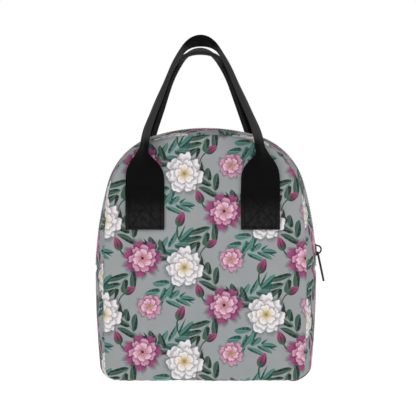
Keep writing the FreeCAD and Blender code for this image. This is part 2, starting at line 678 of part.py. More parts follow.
SLOPE = "atan(%s / %s)" % (RISE, RUN)
diagonal.setExpression("Placement.Rotation.Angle", SLOPE)
diagonal.setExpression(
    "Placement.Base.x", "%s + Sizes.stitch_width / 2 * (1 + sin(%s))" % (BOX_LEFT, SLOPE))
diagonal.setExpression("Placement.Base.y", STITCH_DEEP[0])
diagonal.setExpression(
    "Placement.Base.z", "%s + Sizes.stitch_width / 2 * (1 - cos(%s))" % (BOX_LOW, SLOPE))
diagonal_back = doc.addObject("Part::Mirroring", "stitch_diagonal_back")
diagonal_back.Source = diagonal
diagonal_back.Normal = SIDEWAYS
diagonal_back.setExpression("Base.x", "Sizes.handle_spacing / 2")
stitch_right = fuse("stitch_right", [stitch_frame, diagonal, diagonal_back])
stitch_left = mirror("stitch_left", stitch_right, SIDEWAYS)
front_handle_stitching = group("front_handle_stitching", [stitch_right, stitch_left])
back_handle_stitching = mirror("back_handle_stitching", front_handle_stitching, BACKWARD)


# Handle loops: the webbing leaves its flat ends, folds in half and turns edge-on above the
# panel's top, leans towards the middle of the bag and closes over in a rounded peak.
def loop_route():
    """Right half of the loop in its own plane: (across, along) points with their slope and length."""
    slope = math.radians(size["handle_leg_slope"])
    side = size["handle_spacing"] / 2
    bend = size["handle_bend_radius"]
    peak = size["handle_top_radius"]
    straight = size["handle_bend_height"] - size["handle_hinge_height"]
    bend_end = (side - bend * (1 - math.cos(slope)), straight + bend * math.sin(slope))
    leg = (bend_end[0] - peak * math.cos(slope)) / math.sin(slope)
    peak_centre = bend_end[1] + leg * math.cos(slope) - peak * math.sin(slope)
    route = []
    for step in range(3):
        route.append((side, straight * step / 3, 0.0))
    for step in range(13):
        turn = slope * step / 12
        route.append((side - bend * (1 - math.cos(turn)), straight + bend * math.sin(turn), turn))
    route.append((bend_end[0] - leg / 2 * math.sin(slope), bend_end[1] + leg / 2 * math.cos(slope), slope))
    for step in range(5):
        turn = slope + (math.pi / 2 - slope) * step / 4
        route.append((peak * math.cos(turn), peak_centre + peak * math.sin(turn), turn))
    return route


def eased(value):
    """Rises smoothly from 0 to 1."""
    value = max(0.0, min(1.0, value))
    return value * value * (3 - 2 * value)


def lean_at(along):
    """How far the loop's plane leans from upright, at a length along it from the hinge line."""
    past = size["handle_hinge_height"] + along - size["handle_lean_start"]
    return math.radians(size["handle_lean"]) * eased(past / size["handle_lean_span"])


def leant(along):
    """Depth and height gained along the leaning plane, summed in small steps."""
    steps = 60
    span = along / steps
    angles = [lean_at(span * (step + 0.5)) for step in range(steps)]
    return sum(math.sin(angle) for angle in angles) * span, sum(math.cos(angle) for angle in angles) * span


def loop_section(across, along, slope, side):
    """The webbing's cross section at one place of the route; side is 1 on the right, -1 on the left."""
    height = size["handle_hinge_height"] + along
    fold_span = size["handle_fold_end"] - size["handle_fold_start"]
    turn_span = size["handle_turn_end"] - size["handle_turn_start"]
    fold = eased((height - size["handle_fold_start"]) / fold_span)
    leg_turn = math.radians(size["handle_leg_turn"])
    leg_slope = math.radians(size["handle_leg_slope"])
    turned = leg_turn * eased((height - size["handle_turn_start"]) / turn_span)
    turned += (math.pi / 2 - leg_turn) * eased((slope - leg_slope) / (math.pi / 2 - leg_slope))
    wide = size["webbing_width"] * (1 - fold / 2)
    thick = size["webbing_wall"] * (1 + fold)
    # Upright against the panel, the webbing stays clear of its face; above, it leans to the middle.
    leaning = lean_at(along)
    back, rise = leant(along)
    stand_off = wide / 2 * math.sin(turned) + thick / 2 * math.cos(turned)
    out = size["bag_depth"] / 2 + size["handle_clearance"] + stand_off
    place = Vector(side * across, back - out, size["handle_hinge_height"] + rise)
    up = Vector(0, math.sin(leaning), math.cos(leaning))
    facing = Vector(0, -math.cos(leaning), math.sin(leaning))
    inward = Vector(-side * math.cos(slope), 0, 0) - up * math.sin(slope)
    wide_way = inward * math.cos(turned) + facing * math.sin(turned)
    thick_way = facing * math.cos(turned) - inward * math.sin(turned)
    corners = []
    for wide_side, thick_side in ((1, 1), (-1, 1), (-1, -1), (1, -1)):
        corners.append(place + wide_way * (wide_side * wide / 2) + thick_way * (thick_side * thick / 2))
    return Part.makePolygon(corners + [corners[0]])


sections = [loop_section(across, along, slope, 1) for across, along, slope in loop_route()]
for across, along, slope in reversed(loop_route()[:-1]):
    sections.append(loop_section(across, along, slope, -1))
front_handle_loop = doc.addObject("Part::Feature", "front_handle_loop")
front_handle_loop.Shape = Part.makeLoft(sections, True, False)
front_handle_loop.Placement = FreeCAD.Placement()
back_handle_loop = mirror("back_handle_loop", front_handle_loop, BACKWARD)

doc.recompute()

NODES = [
    back_panel_cover, back_panel_foam, back_panel_lining,
    lower_front_cover, lower_front_foam, lower_front_lining,
    base_band_cover, base_band_foam, base_band_lining,
    rear_strip[0], rear_strip[1], rear_strip[2], rear_strip[3],
    rear_zipper_coil, zipper_end_stop,
    back_handle_ends, back_handle_stitching, back_seam_binding, lower_front_seam_binding,
    front_flap_cover, front_flap_foam, front_flap_lining,
    front_strip[0], front_strip[1], front_strip[2], front_strip[3],
    front_zipper_coil, front_handle_ends, front_handle_stitching, flap_seam_binding,
    front_handle_loop, back_handle_loop, zipper_slider, zipper_pull,
]

for item in doc.Objects:
    if "Invalid" in item.State or "Error" in item.State:
        raise RuntimeError("failed: %s %s" % (item.Name, item.State))
for node in NODES:
    node.Label = node.Name
    if node.Shape.isNull() or not node.Shape.isValid() or not node.Shape.Solids:
        raise RuntimeError("bad shape: " + node.Name)

os.makedirs("parts", exist_ok=True)
for node in NODES:
    node.Shape.exportStep("parts/%s.step" % node.Name)
    box = node.Shape.BoundBox
    print("%-26s solids %d volume %10.1f  x %.2f %.2f  y %.2f %.2f  z %.2f %.2f" % (
        node.Name, len(node.Shape.Solids), node.Shape.Volume,
        box.XMin, box.XMax, box.YMin, box.YMax, box.ZMin, box.ZMax))
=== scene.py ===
import math

import bpy
import numpy as np
from mathutils import Matrix, Vector


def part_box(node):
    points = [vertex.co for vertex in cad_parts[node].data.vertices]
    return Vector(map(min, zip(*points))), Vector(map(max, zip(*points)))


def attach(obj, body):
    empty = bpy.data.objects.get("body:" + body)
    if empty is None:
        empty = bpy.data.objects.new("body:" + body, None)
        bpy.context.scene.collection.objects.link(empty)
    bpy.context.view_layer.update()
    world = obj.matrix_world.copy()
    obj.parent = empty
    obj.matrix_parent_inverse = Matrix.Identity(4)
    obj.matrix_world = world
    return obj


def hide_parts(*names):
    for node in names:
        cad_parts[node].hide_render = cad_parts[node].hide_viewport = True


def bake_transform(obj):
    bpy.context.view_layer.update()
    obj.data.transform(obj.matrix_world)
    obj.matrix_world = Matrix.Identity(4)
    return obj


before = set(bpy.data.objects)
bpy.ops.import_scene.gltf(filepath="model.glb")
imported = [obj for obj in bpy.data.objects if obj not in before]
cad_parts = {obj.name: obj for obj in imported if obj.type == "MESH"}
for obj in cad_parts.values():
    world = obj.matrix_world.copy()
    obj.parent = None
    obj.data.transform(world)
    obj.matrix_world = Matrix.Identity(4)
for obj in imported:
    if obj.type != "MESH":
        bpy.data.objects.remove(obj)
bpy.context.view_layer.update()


# Printed cloth: plain-weave polyester, printed with a grey ground and a scatter of open blossoms,
# buds and leafy sprigs. Every outside wall of the bag is cut from it.
REPEAT_WIDE = 0.080
REPEAT_TALL = 0.092
WEAVE_PITCH = 0.0006


class Wire:
    """A node's output that can stand in a formula; every step adds a node to the same tree."""

    def __init__(self, tree, socket):
        self.tree = tree
        self.socket = socket

    def step(self, operation, *others):
        return place_node(self.tree, "ShaderNodeMath", self, *others, operation=operation)

    def rise(self, low, high):
        """0 up to low and 1 from high on, smooth between; it falls where low is the greater."""
        feeds = (self, low, high)
        return place_node(self.tree, "ShaderNodeMapRange", *feeds, interpolation_type="SMOOTHSTEP")

    def into(self, socket):
        """Feed a socket of the same tree."""
        self.tree.links.new(self.socket, socket)

    def __add__(self, other):
        return self.step("ADD", other)

    def __sub__(self, other):
        return self.step("SUBTRACT", other)

    def __rsub__(self, other):
        return place_node(self.tree, "ShaderNodeMath", other, self, operation="SUBTRACT")

    def __mul__(self, other):
        return self.step("MULTIPLY", other)

    def __truediv__(self, other):
        return self.step("DIVIDE", other)

    def __pow__(self, other):
        return self.step("POWER", other)

    def __abs__(self):
        return self.step("ABSOLUTE")


def place_node(tree, kind, *feeds, pick=0, **settings):
    """Add a node whose inputs are fed in order by wires, numbers or colours; None leaves one alone."""
    node = tree.nodes.new(kind)
    for name, value in settings.items():
        setattr(node, name, value)
    for socket, feed in zip(node.inputs, feeds):
        if isinstance(feed, Wire):
            feed.into(socket)
        elif feed is not None:
            socket.default_value = feed
    return Wire(tree, node.outputs[pick])


def mixed(tree, share, first, second, how="MIX"):
    """Two colours mixed by a share."""
    feeds = (share, None, None, None, None, None, first, second)
    return place_node(tree, "ShaderNodeMix", *feeds, pick=2, data_type="RGBA", blend_type=how)


def noise(tree, place, scale, detail=2.0, seed=0.0):
    return place_node(tree, "ShaderNodeTexNoise", place, seed, scale, detail, noise_dimensions="4D")


def split(tree, vector):
    """The x and y of a vector."""
    node = tree.nodes.new("ShaderNodeSeparateXYZ")
    vector.into(node.inputs[0])
    return Wire(tree, node.outputs[0]), Wire(tree, node.outputs[1])


def joined(tree, x, y):
    return place_node(tree, "ShaderNodeCombineXYZ", x, y)


def shader_group(name, inputs, outputs):
    """An empty node group with named sockets, its inputs as wires and its outputs by name."""
    tree = bpy.data.node_groups.new(name, "ShaderNodeTree")
    for label, kind in inputs:
        tree.interface.new_socket(label, in_out="INPUT", socket_type="NodeSocket" + kind)
    for label, kind in outputs:
        tree.interface.new_socket(label, in_out="OUTPUT", socket_type="NodeSocket" + kind)
    given = {socket.name: Wire(tree, socket) for socket in tree.nodes.new("NodeGroupInput").outputs}
    made = tree.nodes.new("NodeGroupOutput").inputs
    return tree, given, made


def use_group(tree, group, **feeds):
    """Place a group in a tree with its own values and return its outputs by name."""
    node = tree.nodes.new("ShaderNodeGroup")
    node.node_tree = group
    for name, feed in feeds.items():
        if isinstance(feed, Wire):
            feed.into(node.inputs[name])
        else:
            node.inputs[name].default_value = feed
    return {socket.name: Wire(tree, socket) for socket in node.outputs}


def ink(red, green, blue):
    """A print colour from its 0 to 255 values."""
    shares = [value / 255 for value in (red, green, blue)]
    return [s / 12.92 if s <= 0.04045 else ((s + 0.055) / 1.055) ** 2.4 for s in shares] + [1.0]


def repeat_group():
    """Where a point of the cloth lies in the nearest copy of a motif. The copies step half a repeat
    up from each column to the next."""
    inputs = [("Cloth", "Vector"), ("Centre", "Vector"), ("Turn", "Float"), ("Size", "Float")]
    tree, given, made = shader_group("print repeat", inputs, [("Place", "Vector")])
    feeds = (given["Cloth"], given["Centre"])
    offset = place_node(tree, "ShaderNodeVectorMath", *feeds, operation="SUBTRACT")
    x, y = split(tree, offset)
    column = (x / REPEAT_WIDE + 0.5).step("FLOOR")
    x = x - column * REPEAT_WIDE
    y = (y - column * (REPEAT_TALL / 2)).step("WRAP", REPEAT_TALL / 2, -REPEAT_TALL / 2)
    turned = place_node(
        tree, "ShaderNodeVectorRotate", joined(tree, x, y), None, None, given["Turn"] * -1,
        rotation_type="Z_AXIS")
    size = joined(tree, given["Size"], given["Size"])
    place = place_node(tree, "ShaderNodeVectorMath", turned, size, operation="DIVIDE")
    place.into(made["Place"])
    return tree


def blossom_group():
    """One ring of petals, reaching about 1 from its middle, each petal lapping over the next."""
    inputs = [("Place", "Vector")]
    inputs += [(name, "Float") for name in ("Petals", "Parting", "Notch", "Seed")]
    inputs += [(name, "Color") for name in ("Tip", "Middle", "Root", "Deep")]
    outputs = [("Colour", "Color"), ("Cover", "Float"), ("Shade", "Float")]
    tree, given, made = shader_group("blossom", inputs, outputs)
    ruffle_x = noise(tree, given["Place"], 2.6, 3.0, given["Seed"]) - 0.5
    ruffle_y = noise(tree, given["Place"], 2.6, 3.0, given["Seed"] + 40) - 0.5
    ruffle = joined(tree, ruffle_x * 0.42, ruffle_y * 0.42)
    place = place_node(tree, "ShaderNodeVectorMath", given["Place"], ruffle)
    out = place_node(tree, "ShaderNodeVectorMath", place, pick=1, operation="LENGTH")
    x, y = split(tree, place)
    turn = (y.step("ARCTAN2", x) / math.tau * given["Petals"]).step("WRAP", given["Petals"], 0.0)
    petal = turn.step("FLOOR")
    aside = turn - petal - 0.5
    chance = place_node(
        tree, "ShaderNodeTexWhiteNoise", None, petal + given["Seed"], noise_dimensions="1D")
    side = abs(aside) * 2
    reach = (1 - chance * 0.14) * (1 - given["Parting"] * side ** 3)
    reach = reach - given["Notch"] * abs(aside).rise(0.16, 0.0)
    along = out / reach
    colour = mixed(tree, along.rise(0.12, 0.5), given["Root"], given["Middle"])
    colour = mixed(tree, along.rise(0.45, 0.98), colour, given["Tip"])
    grain = noise(tree, place, 6.0, 3.0, given["Seed"])
    streak = (aside * 46 + grain * 5).step("SINE").rise(0.1, 1.0) * along.rise(0.98, 0.35)
    colour = mixed(tree, streak * 0.42, colour, given["Root"])
    lapped = aside.rise(0.16, 0.5) * along.rise(0.1, 0.6)
    colour = mixed(tree, lapped * 0.75, colour, given["Deep"])
    lifted = aside.rise(-0.26, -0.48) * along.rise(0.3, 0.8)
    colour = mixed(tree, lifted * 0.45, colour, given["Tip"])
    dapple = grain.rise(0.5, 0.72) * along.rise(0.95, 0.7)
    colour = mixed(tree, dapple * 0.5, colour, given["Deep"])
    rim = along.rise(0.88, 0.97) * 0.35
    colour = mixed(tree, rim, colour, given["Tip"])
    colour.into(made["Colour"])
    along.rise(1.03, 0.97).into(made["Cover"])
    (along.rise(1.3, 0.98) * 0.5).into(made["Shade"])
    return tree


def heart_group():
    """A blossom's middle: a green boss in a loose ring of stamens."""
    inputs = [("Place", "Vector"), ("Boss", "Color"), ("Stamen", "Color"), ("Shade", "Color")]
    tree, given, made = shader_group("blossom heart", inputs, [("Colour", "Color"), ("Cover", "Float")])
    out = place_node(tree, "ShaderNodeVectorMath", given["Place"], pick=1, operation="LENGTH")
    spots = place_node(tree, "ShaderNodeTexVoronoi", given["Place"], None, 13.0)
    dots = spots.rise(0.52, 0.36) * out.rise(0.36, 0.3) * out.rise(0.12, 0.17)
    boss = out.rise(0.17, 0.12)
    glow = out.rise(0.4, 0.12) * 0.55
    colour = mixed(tree, boss, given["Shade"], given["Boss"])
    colour = mixed(tree, dots, colour, given["Stamen"])
    cover = dots.step("MAXIMUM", boss).step("MAXIMUM", glow)
    colour.into(made["Colour"])
    cover.into(made["Cover"])
    return tree


def lens(share, bluntness):
    """0 at both ends of a leaf or a bud and 1 in its middle."""
    return (share * (1 - share) * 4).step("MAXIMUM", 0.0) ** bluntness


def sprig_group():
    """A stem from 0 to 1 along x, with slanting leaves on both sides and one at its tip."""
    inputs = [("Place", "Vector")]
    inputs += [(name, "Float") for name in ("Bend", "Spacing", "Leaf", "Seed")]
    inputs += [(name, "Color") for name in ("Dark", "Light", "Rib")]
    tree, given, made = shader_group("leafy sprig", inputs, [("Colour", "Color"), ("Cover", "Float")])
    slant = math.radians(42)
    x, y = split(tree, given["Place"])
    y = y - given["Bend"] * x * x
    side = y.step("SIGN")
    off = abs(y)
    spacing = given["Spacing"]
    foot = x - off / math.tan(slant) + side * spacing * 0.25
    number = (foot / spacing).step("FLOOR")
    across = (foot - (number + 0.5) * spacing) * math.sin(slant)
    chance = place_node(
        tree, "ShaderNodeTexWhiteNoise", None, number * side + given["Seed"], noise_dimensions="1D")
    length = given["Leaf"] * (1.08 - number * spacing * 0.55) * (chance * 0.3 + 0.8)
    along = off / math.sin(slant) / length
    half = lens(along, 0.75) * (1.15 - along * 0.45) * spacing * 0.31
    paired = (half - abs(across)).rise(0.0, 0.012) * foot.rise(0.0, 0.001) * foot.rise(0.86, 0.85)
    # The leaf at the tip lies along the stem itself.
    tip_along = (x - 0.74) / (given["Leaf"] * 0.9)
    tip_half = lens(tip_along, 0.75) * spacing * 0.3
    tip = (tip_half - off).rise(0.0, 0.012)
    stem = off.rise(0.016, 0.009) * x.rise(0.0, 0.01) * x.rise(0.82, 0.8)
    grain = noise(tree, given["Place"], 5.0, 3.0, given["Seed"])
    lit = across.rise(-0.008, 0.008) * 0.5 + grain * 0.7
    colour = mixed(tree, lit.rise(0.25, 0.95), given["Dark"], given["Light"])
    veins = (along * 26 - abs(across) * 60).step("SINE").rise(0.5, 1.0) * 0.35
    rib = abs(across).rise(0.013, 0.004).step("MAXIMUM", veins * paired)
    colour = mixed(tree, rib * 0.6, colour, given["Rib"])
    tip_tone = (y.rise(-0.01, 0.01) * 0.5 + grain * 0.6).rise(0.2, 0.95)
    tip_lit = mixed(tree, tip_tone, given["Dark"], given["Light"])
    tip_lit = mixed(tree, off.rise(0.012, 0.004) * 0.6, tip_lit, given["Rib"])
    colour = mixed(tree, tip, colour, tip_lit)
    colour = mixed(tree, stem * (1 - paired) * (1 - tip), colour, given["Rib"])
    cover = paired.step("MAXIMUM", tip).step("MAXIMUM", stem)
    colour.into(made["Colour"])
    cover.into(made["Cover"])
    return tree


def bud_group():
    """A closed bud: an upright drop held by pointed green sepals on a curved stalk."""
    inputs = [("Place", "Vector"), ("Seed", "Float")]
    inputs += [(name, "Color") for name in ("Tip", "Body", "Deep", "Sepal", "Stalk")]
    tree, given, made = shader_group("bud", inputs, [("Colour", "Color"), ("Cover", "Float")])
    x, y = split(tree, given["Place"])
    up = (y + 0.35) / 1.3
    half = lens(up, 0.6) * (1.1 - up * 0.5) * 0.46
    body = (half - abs(x)).rise(0.0, 0.05)
    grain = noise(tree, given["Place"], 3.5, 3.0, given["Seed"])
    across = x / half.step("MAXIMUM", 0.05)
    colour = mixed(tree, up.rise(0.15, 0.95), given["Body"], given["Tip"])
    folds = (across * 7 + grain * 5).step("SINE").rise(0.2, 1.0) * 0.6
    colour = mixed(tree, folds, colour, given["Deep"])
    colour = mixed(tree, across.rise(0.2, 0.95) * 0.6, colour, given["Deep"])
    teeth = (across * 8.0).step("SINE") * 0.16 + 0.36
    sepal = (up.rise(0.02, 0.0) + (teeth - up).rise(0.0, 0.06)).step("MINIMUM", 1.0) * body
    green = mixed(tree, across.rise(-0.6, 0.8), given["Sepal"], given["Stalk"])
    colour = mixed(tree, sepal, colour, green)
    bent = abs(x - (y + 0.3) * (y + 0.3) * 0.5)
    stalk = bent.rise(0.075, 0.045) * y.rise(-0.25, -0.3) * y.rise(-1.4, -1.35)
    colour = mixed(tree, stalk * (1 - body), colour, given["Stalk"])
    colour.into(made["Colour"])
    body.step("MAXIMUM", stalk).into(made["Cover"])
    return tree


def petal_inks(tip, middle, root, deep):
    """A ring of petals' colours: at the tips, half way, at the root and in the folds."""
    return {"Tip": ink(*tip), "Middle": ink(*middle), "Root": ink(*root), "Deep": ink(*deep)}


GROUND = ink(147, 151, 152)
GROUND_LIGHT = ink(158, 161, 162)
CREAM = petal_inks((226, 223, 224), (208, 201, 203), (196, 172, 168), (158, 150, 164))
BUTTER = petal_inks((232, 228, 222), (216, 206, 190), (206, 176, 142), (170, 152, 152))
ROSE = petal_inks((206, 148, 174), (176, 100, 138), (128, 50, 92), (112, 44, 84))
BERRY = petal_inks((150, 76, 118), (124, 50, 92), (90, 30, 62), (78, 26, 54))
SHELL = petal_inks((222, 190, 200), (200, 146, 166), (160, 88, 118), (146, 86, 116))
GOLD_HEART = {"Boss": ink(138, 140, 78), "Stamen": ink(212, 180, 98), "Shade": ink(152, 108, 78)}
PLUM_HEART = {"Boss": ink(78, 28, 50), "Stamen": ink(214, 180, 122), "Shade": ink(80, 22, 48)}
FOREST = {"Dark": ink(32, 48, 43), "Light": ink(64, 90, 79), "Rib": ink(98, 122, 108)}
TEAL = {"Dark": ink(36, 74, 70), "Light": ink(78, 126, 117), "Rib": ink(128, 160, 148)}
WINE_BUD = {"Tip": ink(158, 78, 118), "Body": ink(112, 44, 78), "Deep": ink(76, 26, 50)}
GREEN_CUP = {"Sepal": ink(70, 100, 80), "Stalk": ink(44, 72, 58)}
SHADE = ink(62, 60, 66)

repeat = repeat_group()
blossom = blossom_group()
heart = heart_group()
sprig = sprig_group()
bud = bud_group()


def leafy(bend, spacing, leaf, seed, inks):
    return {"Bend": bend, "Spacing": spacing, "Leaf": leaf, "Seed": seed, **inks}


def petalled(petals, parting, notch, seed, inks):
    return {"Petals": petals, "Parting": parting, "Notch": notch, "Seed": seed, **inks}


def budded(seed):
    return {"Seed": seed, **WINE_BUD, **GREEN_CUP}


# Each motif of one repeat, from the lowest layer up: where it stands, its turn, its size and its looks.
MOTIFS = [
    (sprig, -0.028, 0.009, 212, 0.034, leafy(0.20, 0.35, 0.56, 1.0, TEAL)),
    (sprig, 0.010, -0.026, 240, 0.036, leafy(-0.24, 0.34, 0.56, 3.0, FOREST)),
    (sprig, 0.032, -0.012, 16, 0.034, leafy(0.26, 0.35, 0.57, 4.0, TEAL)),
    (sprig, 0.013, -0.004, 112, 0.033, leafy(0.20, 0.36, 0.54, 5.0, FOREST)),
    (sprig, -0.034, 0.028, 140, 0.028, leafy(0.18, 0.37, 0.58, 7.0, FOREST)),
    (sprig, 0.035, 0.032, 20, 0.028, leafy(-0.22, 0.36, 0.56, 6.0, TEAL)),
    (bud, -0.004, -0.006, 22, 0.0110, budded(1.0)),
    (bud, -0.025, -0.028, 338, 0.0120, budded(2.0)),
    (bud, 0.004, 0.042, 300, 0.0100, budded(3.0)),
    (blossom, -0.020, 0.020, 12, 0.0205, petalled(7.0, 0.22, 0.05, 3.0, CREAM)),
    (blossom, -0.020, 0.020, 40, 0.0155, petalled(6.0, 0.24, 0.08, 8.0, CREAM)),
    (blossom, -0.020, 0.020, 66, 0.0105, petalled(5.0, 0.26, 0.08, 9.0, BUTTER)),
    (heart, -0.020, 0.020, 0, 0.0120, GOLD_HEART),
    (blossom, 0.019, -0.017, 30, 0.0200, petalled(7.0, 0.34, 0.10, 5.0, BERRY)),
    (blossom, 0.019, -0.017, 4, 0.0148, petalled(7.0, 0.28, 0.08, 4.0, ROSE)),
    (blossom, 0.019, -0.017, 52, 0.0100, petalled(6.0, 0.28, 0.08, 7.0, SHELL)),
    (heart, 0.019, -0.017, 20, 0.0095, PLUM_HEART),
    (blossom, 0.026, 0.028, 70, 0.0130, petalled(6.0, 0.30, 0.10, 6.0, ROSE)),
    (blossom, 0.026, 0.028, 20, 0.0085, petalled(5.0, 0.30, 0.10, 2.0, SHELL)),
    (heart, 0.026, 0.028, 0, 0.0080, GOLD_HEART),
]


def print_group():
    """The whole print: every motif laid in turn over the ground, with the ink's slight unevenness."""
    tree, given, made = shader_group("floral print", [("Cloth", "Vector")], [("Colour", "Color")])
    wash = noise(tree, given["Cloth"], 60.0, 3.0)
    colour = mixed(tree, wash.rise(0.35, 0.7) * 0.35, GROUND, GROUND_LIGHT)
    for group, x, y, turn, size, values in MOTIFS:
        stand = {"Centre": (x, y, 0.0), "Turn": math.radians(turn), "Size": size}
        spot = use_group(tree, repeat, Cloth=given["Cloth"], **stand)
        motif = use_group(tree, group, Place=spot["Place"], **values)
        if "Shade" in motif:
            colour = mixed(tree, motif["Shade"], colour, SHADE)
        colour = mixed(tree, motif["Cover"], colour, motif["Colour"])
    colour.into(made["Colour"])
    return tree


def weave_group():
    """Over-and-under threads of a plain weave: their height, and a tone with painted shade in the gaps and
    a random unevenness.
    """
    inputs = [("Cloth", "Vector"), ("Pitch", "Float")]
    tree, given, made = shader_group("plain weave", inputs, [("Height", "Float"), ("Tone", "Float")])
    x, y = split(tree, given["Cloth"])
    warp = (x / given["Pitch"] * math.pi).step("SINE")
    weft = (y / given["Pitch"] * math.pi).step("SINE")
    height = abs(warp) * 0.5 + abs(weft) * 0.5 + warp * weft * 0.35
    uneven = noise(tree, given["Cloth"], 900.0, 2.0)
    (height + uneven * 0.5).into(made["Height"])
    # Painted shade: the tone is darker in the gaps, where the threads sink.
    (height * 0.08 + uneven * 0.1 + 0.9).into(made["Tone"])
    return tree


floral = print_group()
weave = weave_group()


def new_material(name, roughness):
    """A new material of a given roughness, with its tree and its shader."""
    material = bpy.data.materials.new(name)
    material.use_nodes = True
    tree = material.node_tree
    shader = tree.nodes["Principled BSDF"]
    shader.inputs["Roughness"].default_value = roughness
    return material, tree, shader


def cloth_place(tree):
    """Where a point lies on the cut cloth, in metres."""
    return place_node(tree, "ShaderNodeUVMap", uv_map="UVMap")


def add_relief(tree, shader, height, strength, distance):
    """Bump from a height, on a shader's normal."""
    bump = place_node(tree, "ShaderNodeBump", strength, distance, None, height)
    bump.into(shader.inputs["Normal"])


def printed_cloth():
    material, tree, shader = new_material("printed cloth", 0.82)
    place = cloth_place(tree)
    colour = use_group(tree, floral, Cloth=place)["Colour"]
    threads = use_group(tree, weave, Cloth=place, Pitch=WEAVE_PITCH)
    # Painted shade: the print is darkened a little in the gaps between the threads.
    shaded_tone = threads["Tone"]
    gap_shade = place_node(tree, "ShaderNodeCombineXYZ", shaded_tone, shaded_tone, shaded_tone)
    colour = mixed(tree, 1.0, colour, gap_shade, how="MULTIPLY")
    colour.into(shader.inputs["Base Color"])
    add_relief(tree, shader, threads["Height"], 0.25, 0.0002)
    shader.inputs["Specular IOR Level"].default_value = 0.06
    return material


cloth = printed_cloth()


# Front panel: the printed cloth over closed-cell foam, cut to an arch and turned over at its edge.
# It is sewn to the gusset all round, and its upper part folds forward as the flap.
panel_low, panel_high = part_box("back_panel_cover")
seam_depth = panel_low.y
# The outline is widest at its belly, and its arcs are given by their radii.
BELLY = 0.104
PANEL_CURVES = {"lower": 2.0, "side": 0.65, "shoulder": 0.064, "top": 0.23, "corner": 0.011}
EDGE_ROUND = 0.004
ROUND_STEPS = 6
SEAM_TUCK = 0.0022
PANEL_COLUMNS = 70
PANEL_ROWS = 86
PANEL_SWELL = 0.0022
PANEL_BACK = 0.0002
FOAM_PRESSURE = 4.0
PRESS_FRAMES = 20
# Stations count an outline's parts: half of its base, nine arcs and the other half. A panel's grid has
# its corners in the middle of the corner arcs and of the shoulders.
LAST_STATION = 11
CORNER_STATION = 1.5
SHOULDER_STATION = 4.5


def arch(width, height, floor, lower, side, shoulder, top, corner):
    """Arcs of an arched outline, from its right corner over the top to its left one, each as its
    middle's x and z, its radius and the angles of its ends."""
    lower_x = width / 2 - lower
    side_x = width / 2 - side
    top_z = height - top
    corner_z = floor + corner
    corner_x = lower_x + math.sqrt((lower - corner) ** 2 - (BELLY - corner_z) ** 2)
    # The shoulder touches the side and the top from inside.
    rise = top_z - BELLY
    span = math.hypot(side_x, rise)
    along = ((side - shoulder) ** 2 - (top - shoulder) ** 2 + span ** 2) / (2 * span)
    aside = math.sqrt((side - shoulder) ** 2 - along ** 2)
    shoulder_x = side_x - (along * side_x + aside * rise) / span
    shoulder_z = BELLY + (along * rise - aside * side_x) / span
    low_turn = math.atan2(corner_z - BELLY, corner_x - lower_x)
    high_turn = math.atan2(shoulder_z - BELLY, shoulder_x - side_x)
    top_turn = math.atan2(shoulder_z - top_z, shoulder_x)
    right = [
        (corner_x, corner_z, corner, -math.pi / 2, low_turn),
        (lower_x, BELLY, lower, low_turn, 0.0),
        (side_x, BELLY, side, 0.0, high_turn),
        (shoulder_x, shoulder_z, shoulder, high_turn, top_turn),
    ]
    over = [(0.0, top_z, top, top_turn, math.pi - top_turn)]
    left = []
    for x, z, radius, start, end in reversed(right):
        left.append((-x, z, radius, math.pi - end, math.pi - start))
    return right + over + left


def arch_point(arcs, station, inset=0.0):
    """A point of an outline at a station from the middle of its base, set in by a depth. A negative
    station is as far round to the left."""
    if station < 0:
        x, z = arch_point(arcs, -station, inset)
        return -x, z
    part = min(int(station), len(arcs) + 1)
    share = station - part
    if 0 < part <= len(arcs):
        x, z, radius, start, end = arcs[part - 1]
        turn = start + (end - start) * share
        return x + (radius - inset) * math.cos(turn), z + (radius - inset) * math.sin(turn)
    x, z, radius, start, end = arcs[0]
    return (x * share if part == 0 else x * (share - 1)), z - radius + inset


def running_length(steps):
    """Lengths reached after each step, from 0."""
    return np.concatenate([[0.0], np.cumsum(steps)])


def evenly(arcs, first, last, count):
    """Stations evenly spaced along an outline from one station to another."""
    base = arcs[0][0]
    parts = [base] + [radius * (end - start) for x, z, radius, start, end in arcs] + [base]
    lengths = running_length(parts)
    numbers = np.arange(len(lengths))
    ends = np.interp([first, last], numbers, lengths)
    return np.interp(np.linspace(ends[0], ends[1], count), lengths, numbers)


def both_ways(stations):
    """Stations mirrored to the left of the middle and carried on to the right."""
    return np.concatenate([-stations[:0:-1], stations])


def plain_grid(name, columns, rows):
    """A flat grid from -1 to 1, alone selected, whose points carry their place on the cut cloth."""
    bpy.ops.object.select_all(action="DESELECT")
    bpy.ops.mesh.primitive_grid_add(x_subdivisions=columns, y_subdivisions=rows, size=2.0)
    piece = bpy.context.object
    piece.name = name
    piece.data.name = name
    piece.data.attributes.new("cut", "FLOAT_VECTOR", "POINT")
    return piece


def fill_arch(arcs, columns, rows, inset):
    """Points of a grid that fills an outline, row by row from the base, and the stations of its edge."""
    base = both_ways(evenly(arcs, 0.0, CORNER_STATION, columns // 2 + 1))
    side = evenly(arcs, CORNER_STATION, SHOULDER_STATION, rows + 1)
    top = evenly(arcs, SHOULDER_STATION, LAST_STATION - SHOULDER_STATION, columns + 1)[::-1]
    low = np.array([arch_point(arcs, s, inset) for s in base])
    high = np.array([arch_point(arcs, s, inset) for s in top])
    right = np.array([arch_point(arcs, s, inset) for s in side])
    left = right * (-1, 1)
    points, stations = [], []
    for row in range(rows + 1):
        v = row / rows
        for column in range(columns + 1):
            u = column / columns
            ruled = (1 - v) * low[column] + v * high[column] + (1 - u) * left[row] + u * right[row]
            base_corners = (1 - u) * low[0] + u * low[-1]
            top_corners = (1 - u) * high[0] + u * high[-1]
            points.append(ruled - ((1 - v) * base_corners + v * top_corners))
            if row in (0, rows):
                stations.append(base[column] if row == 0 else top[column])
            else:
                stations.append(side[row] if column == columns else -side[row])
    return np.array(points), np.array(stations)


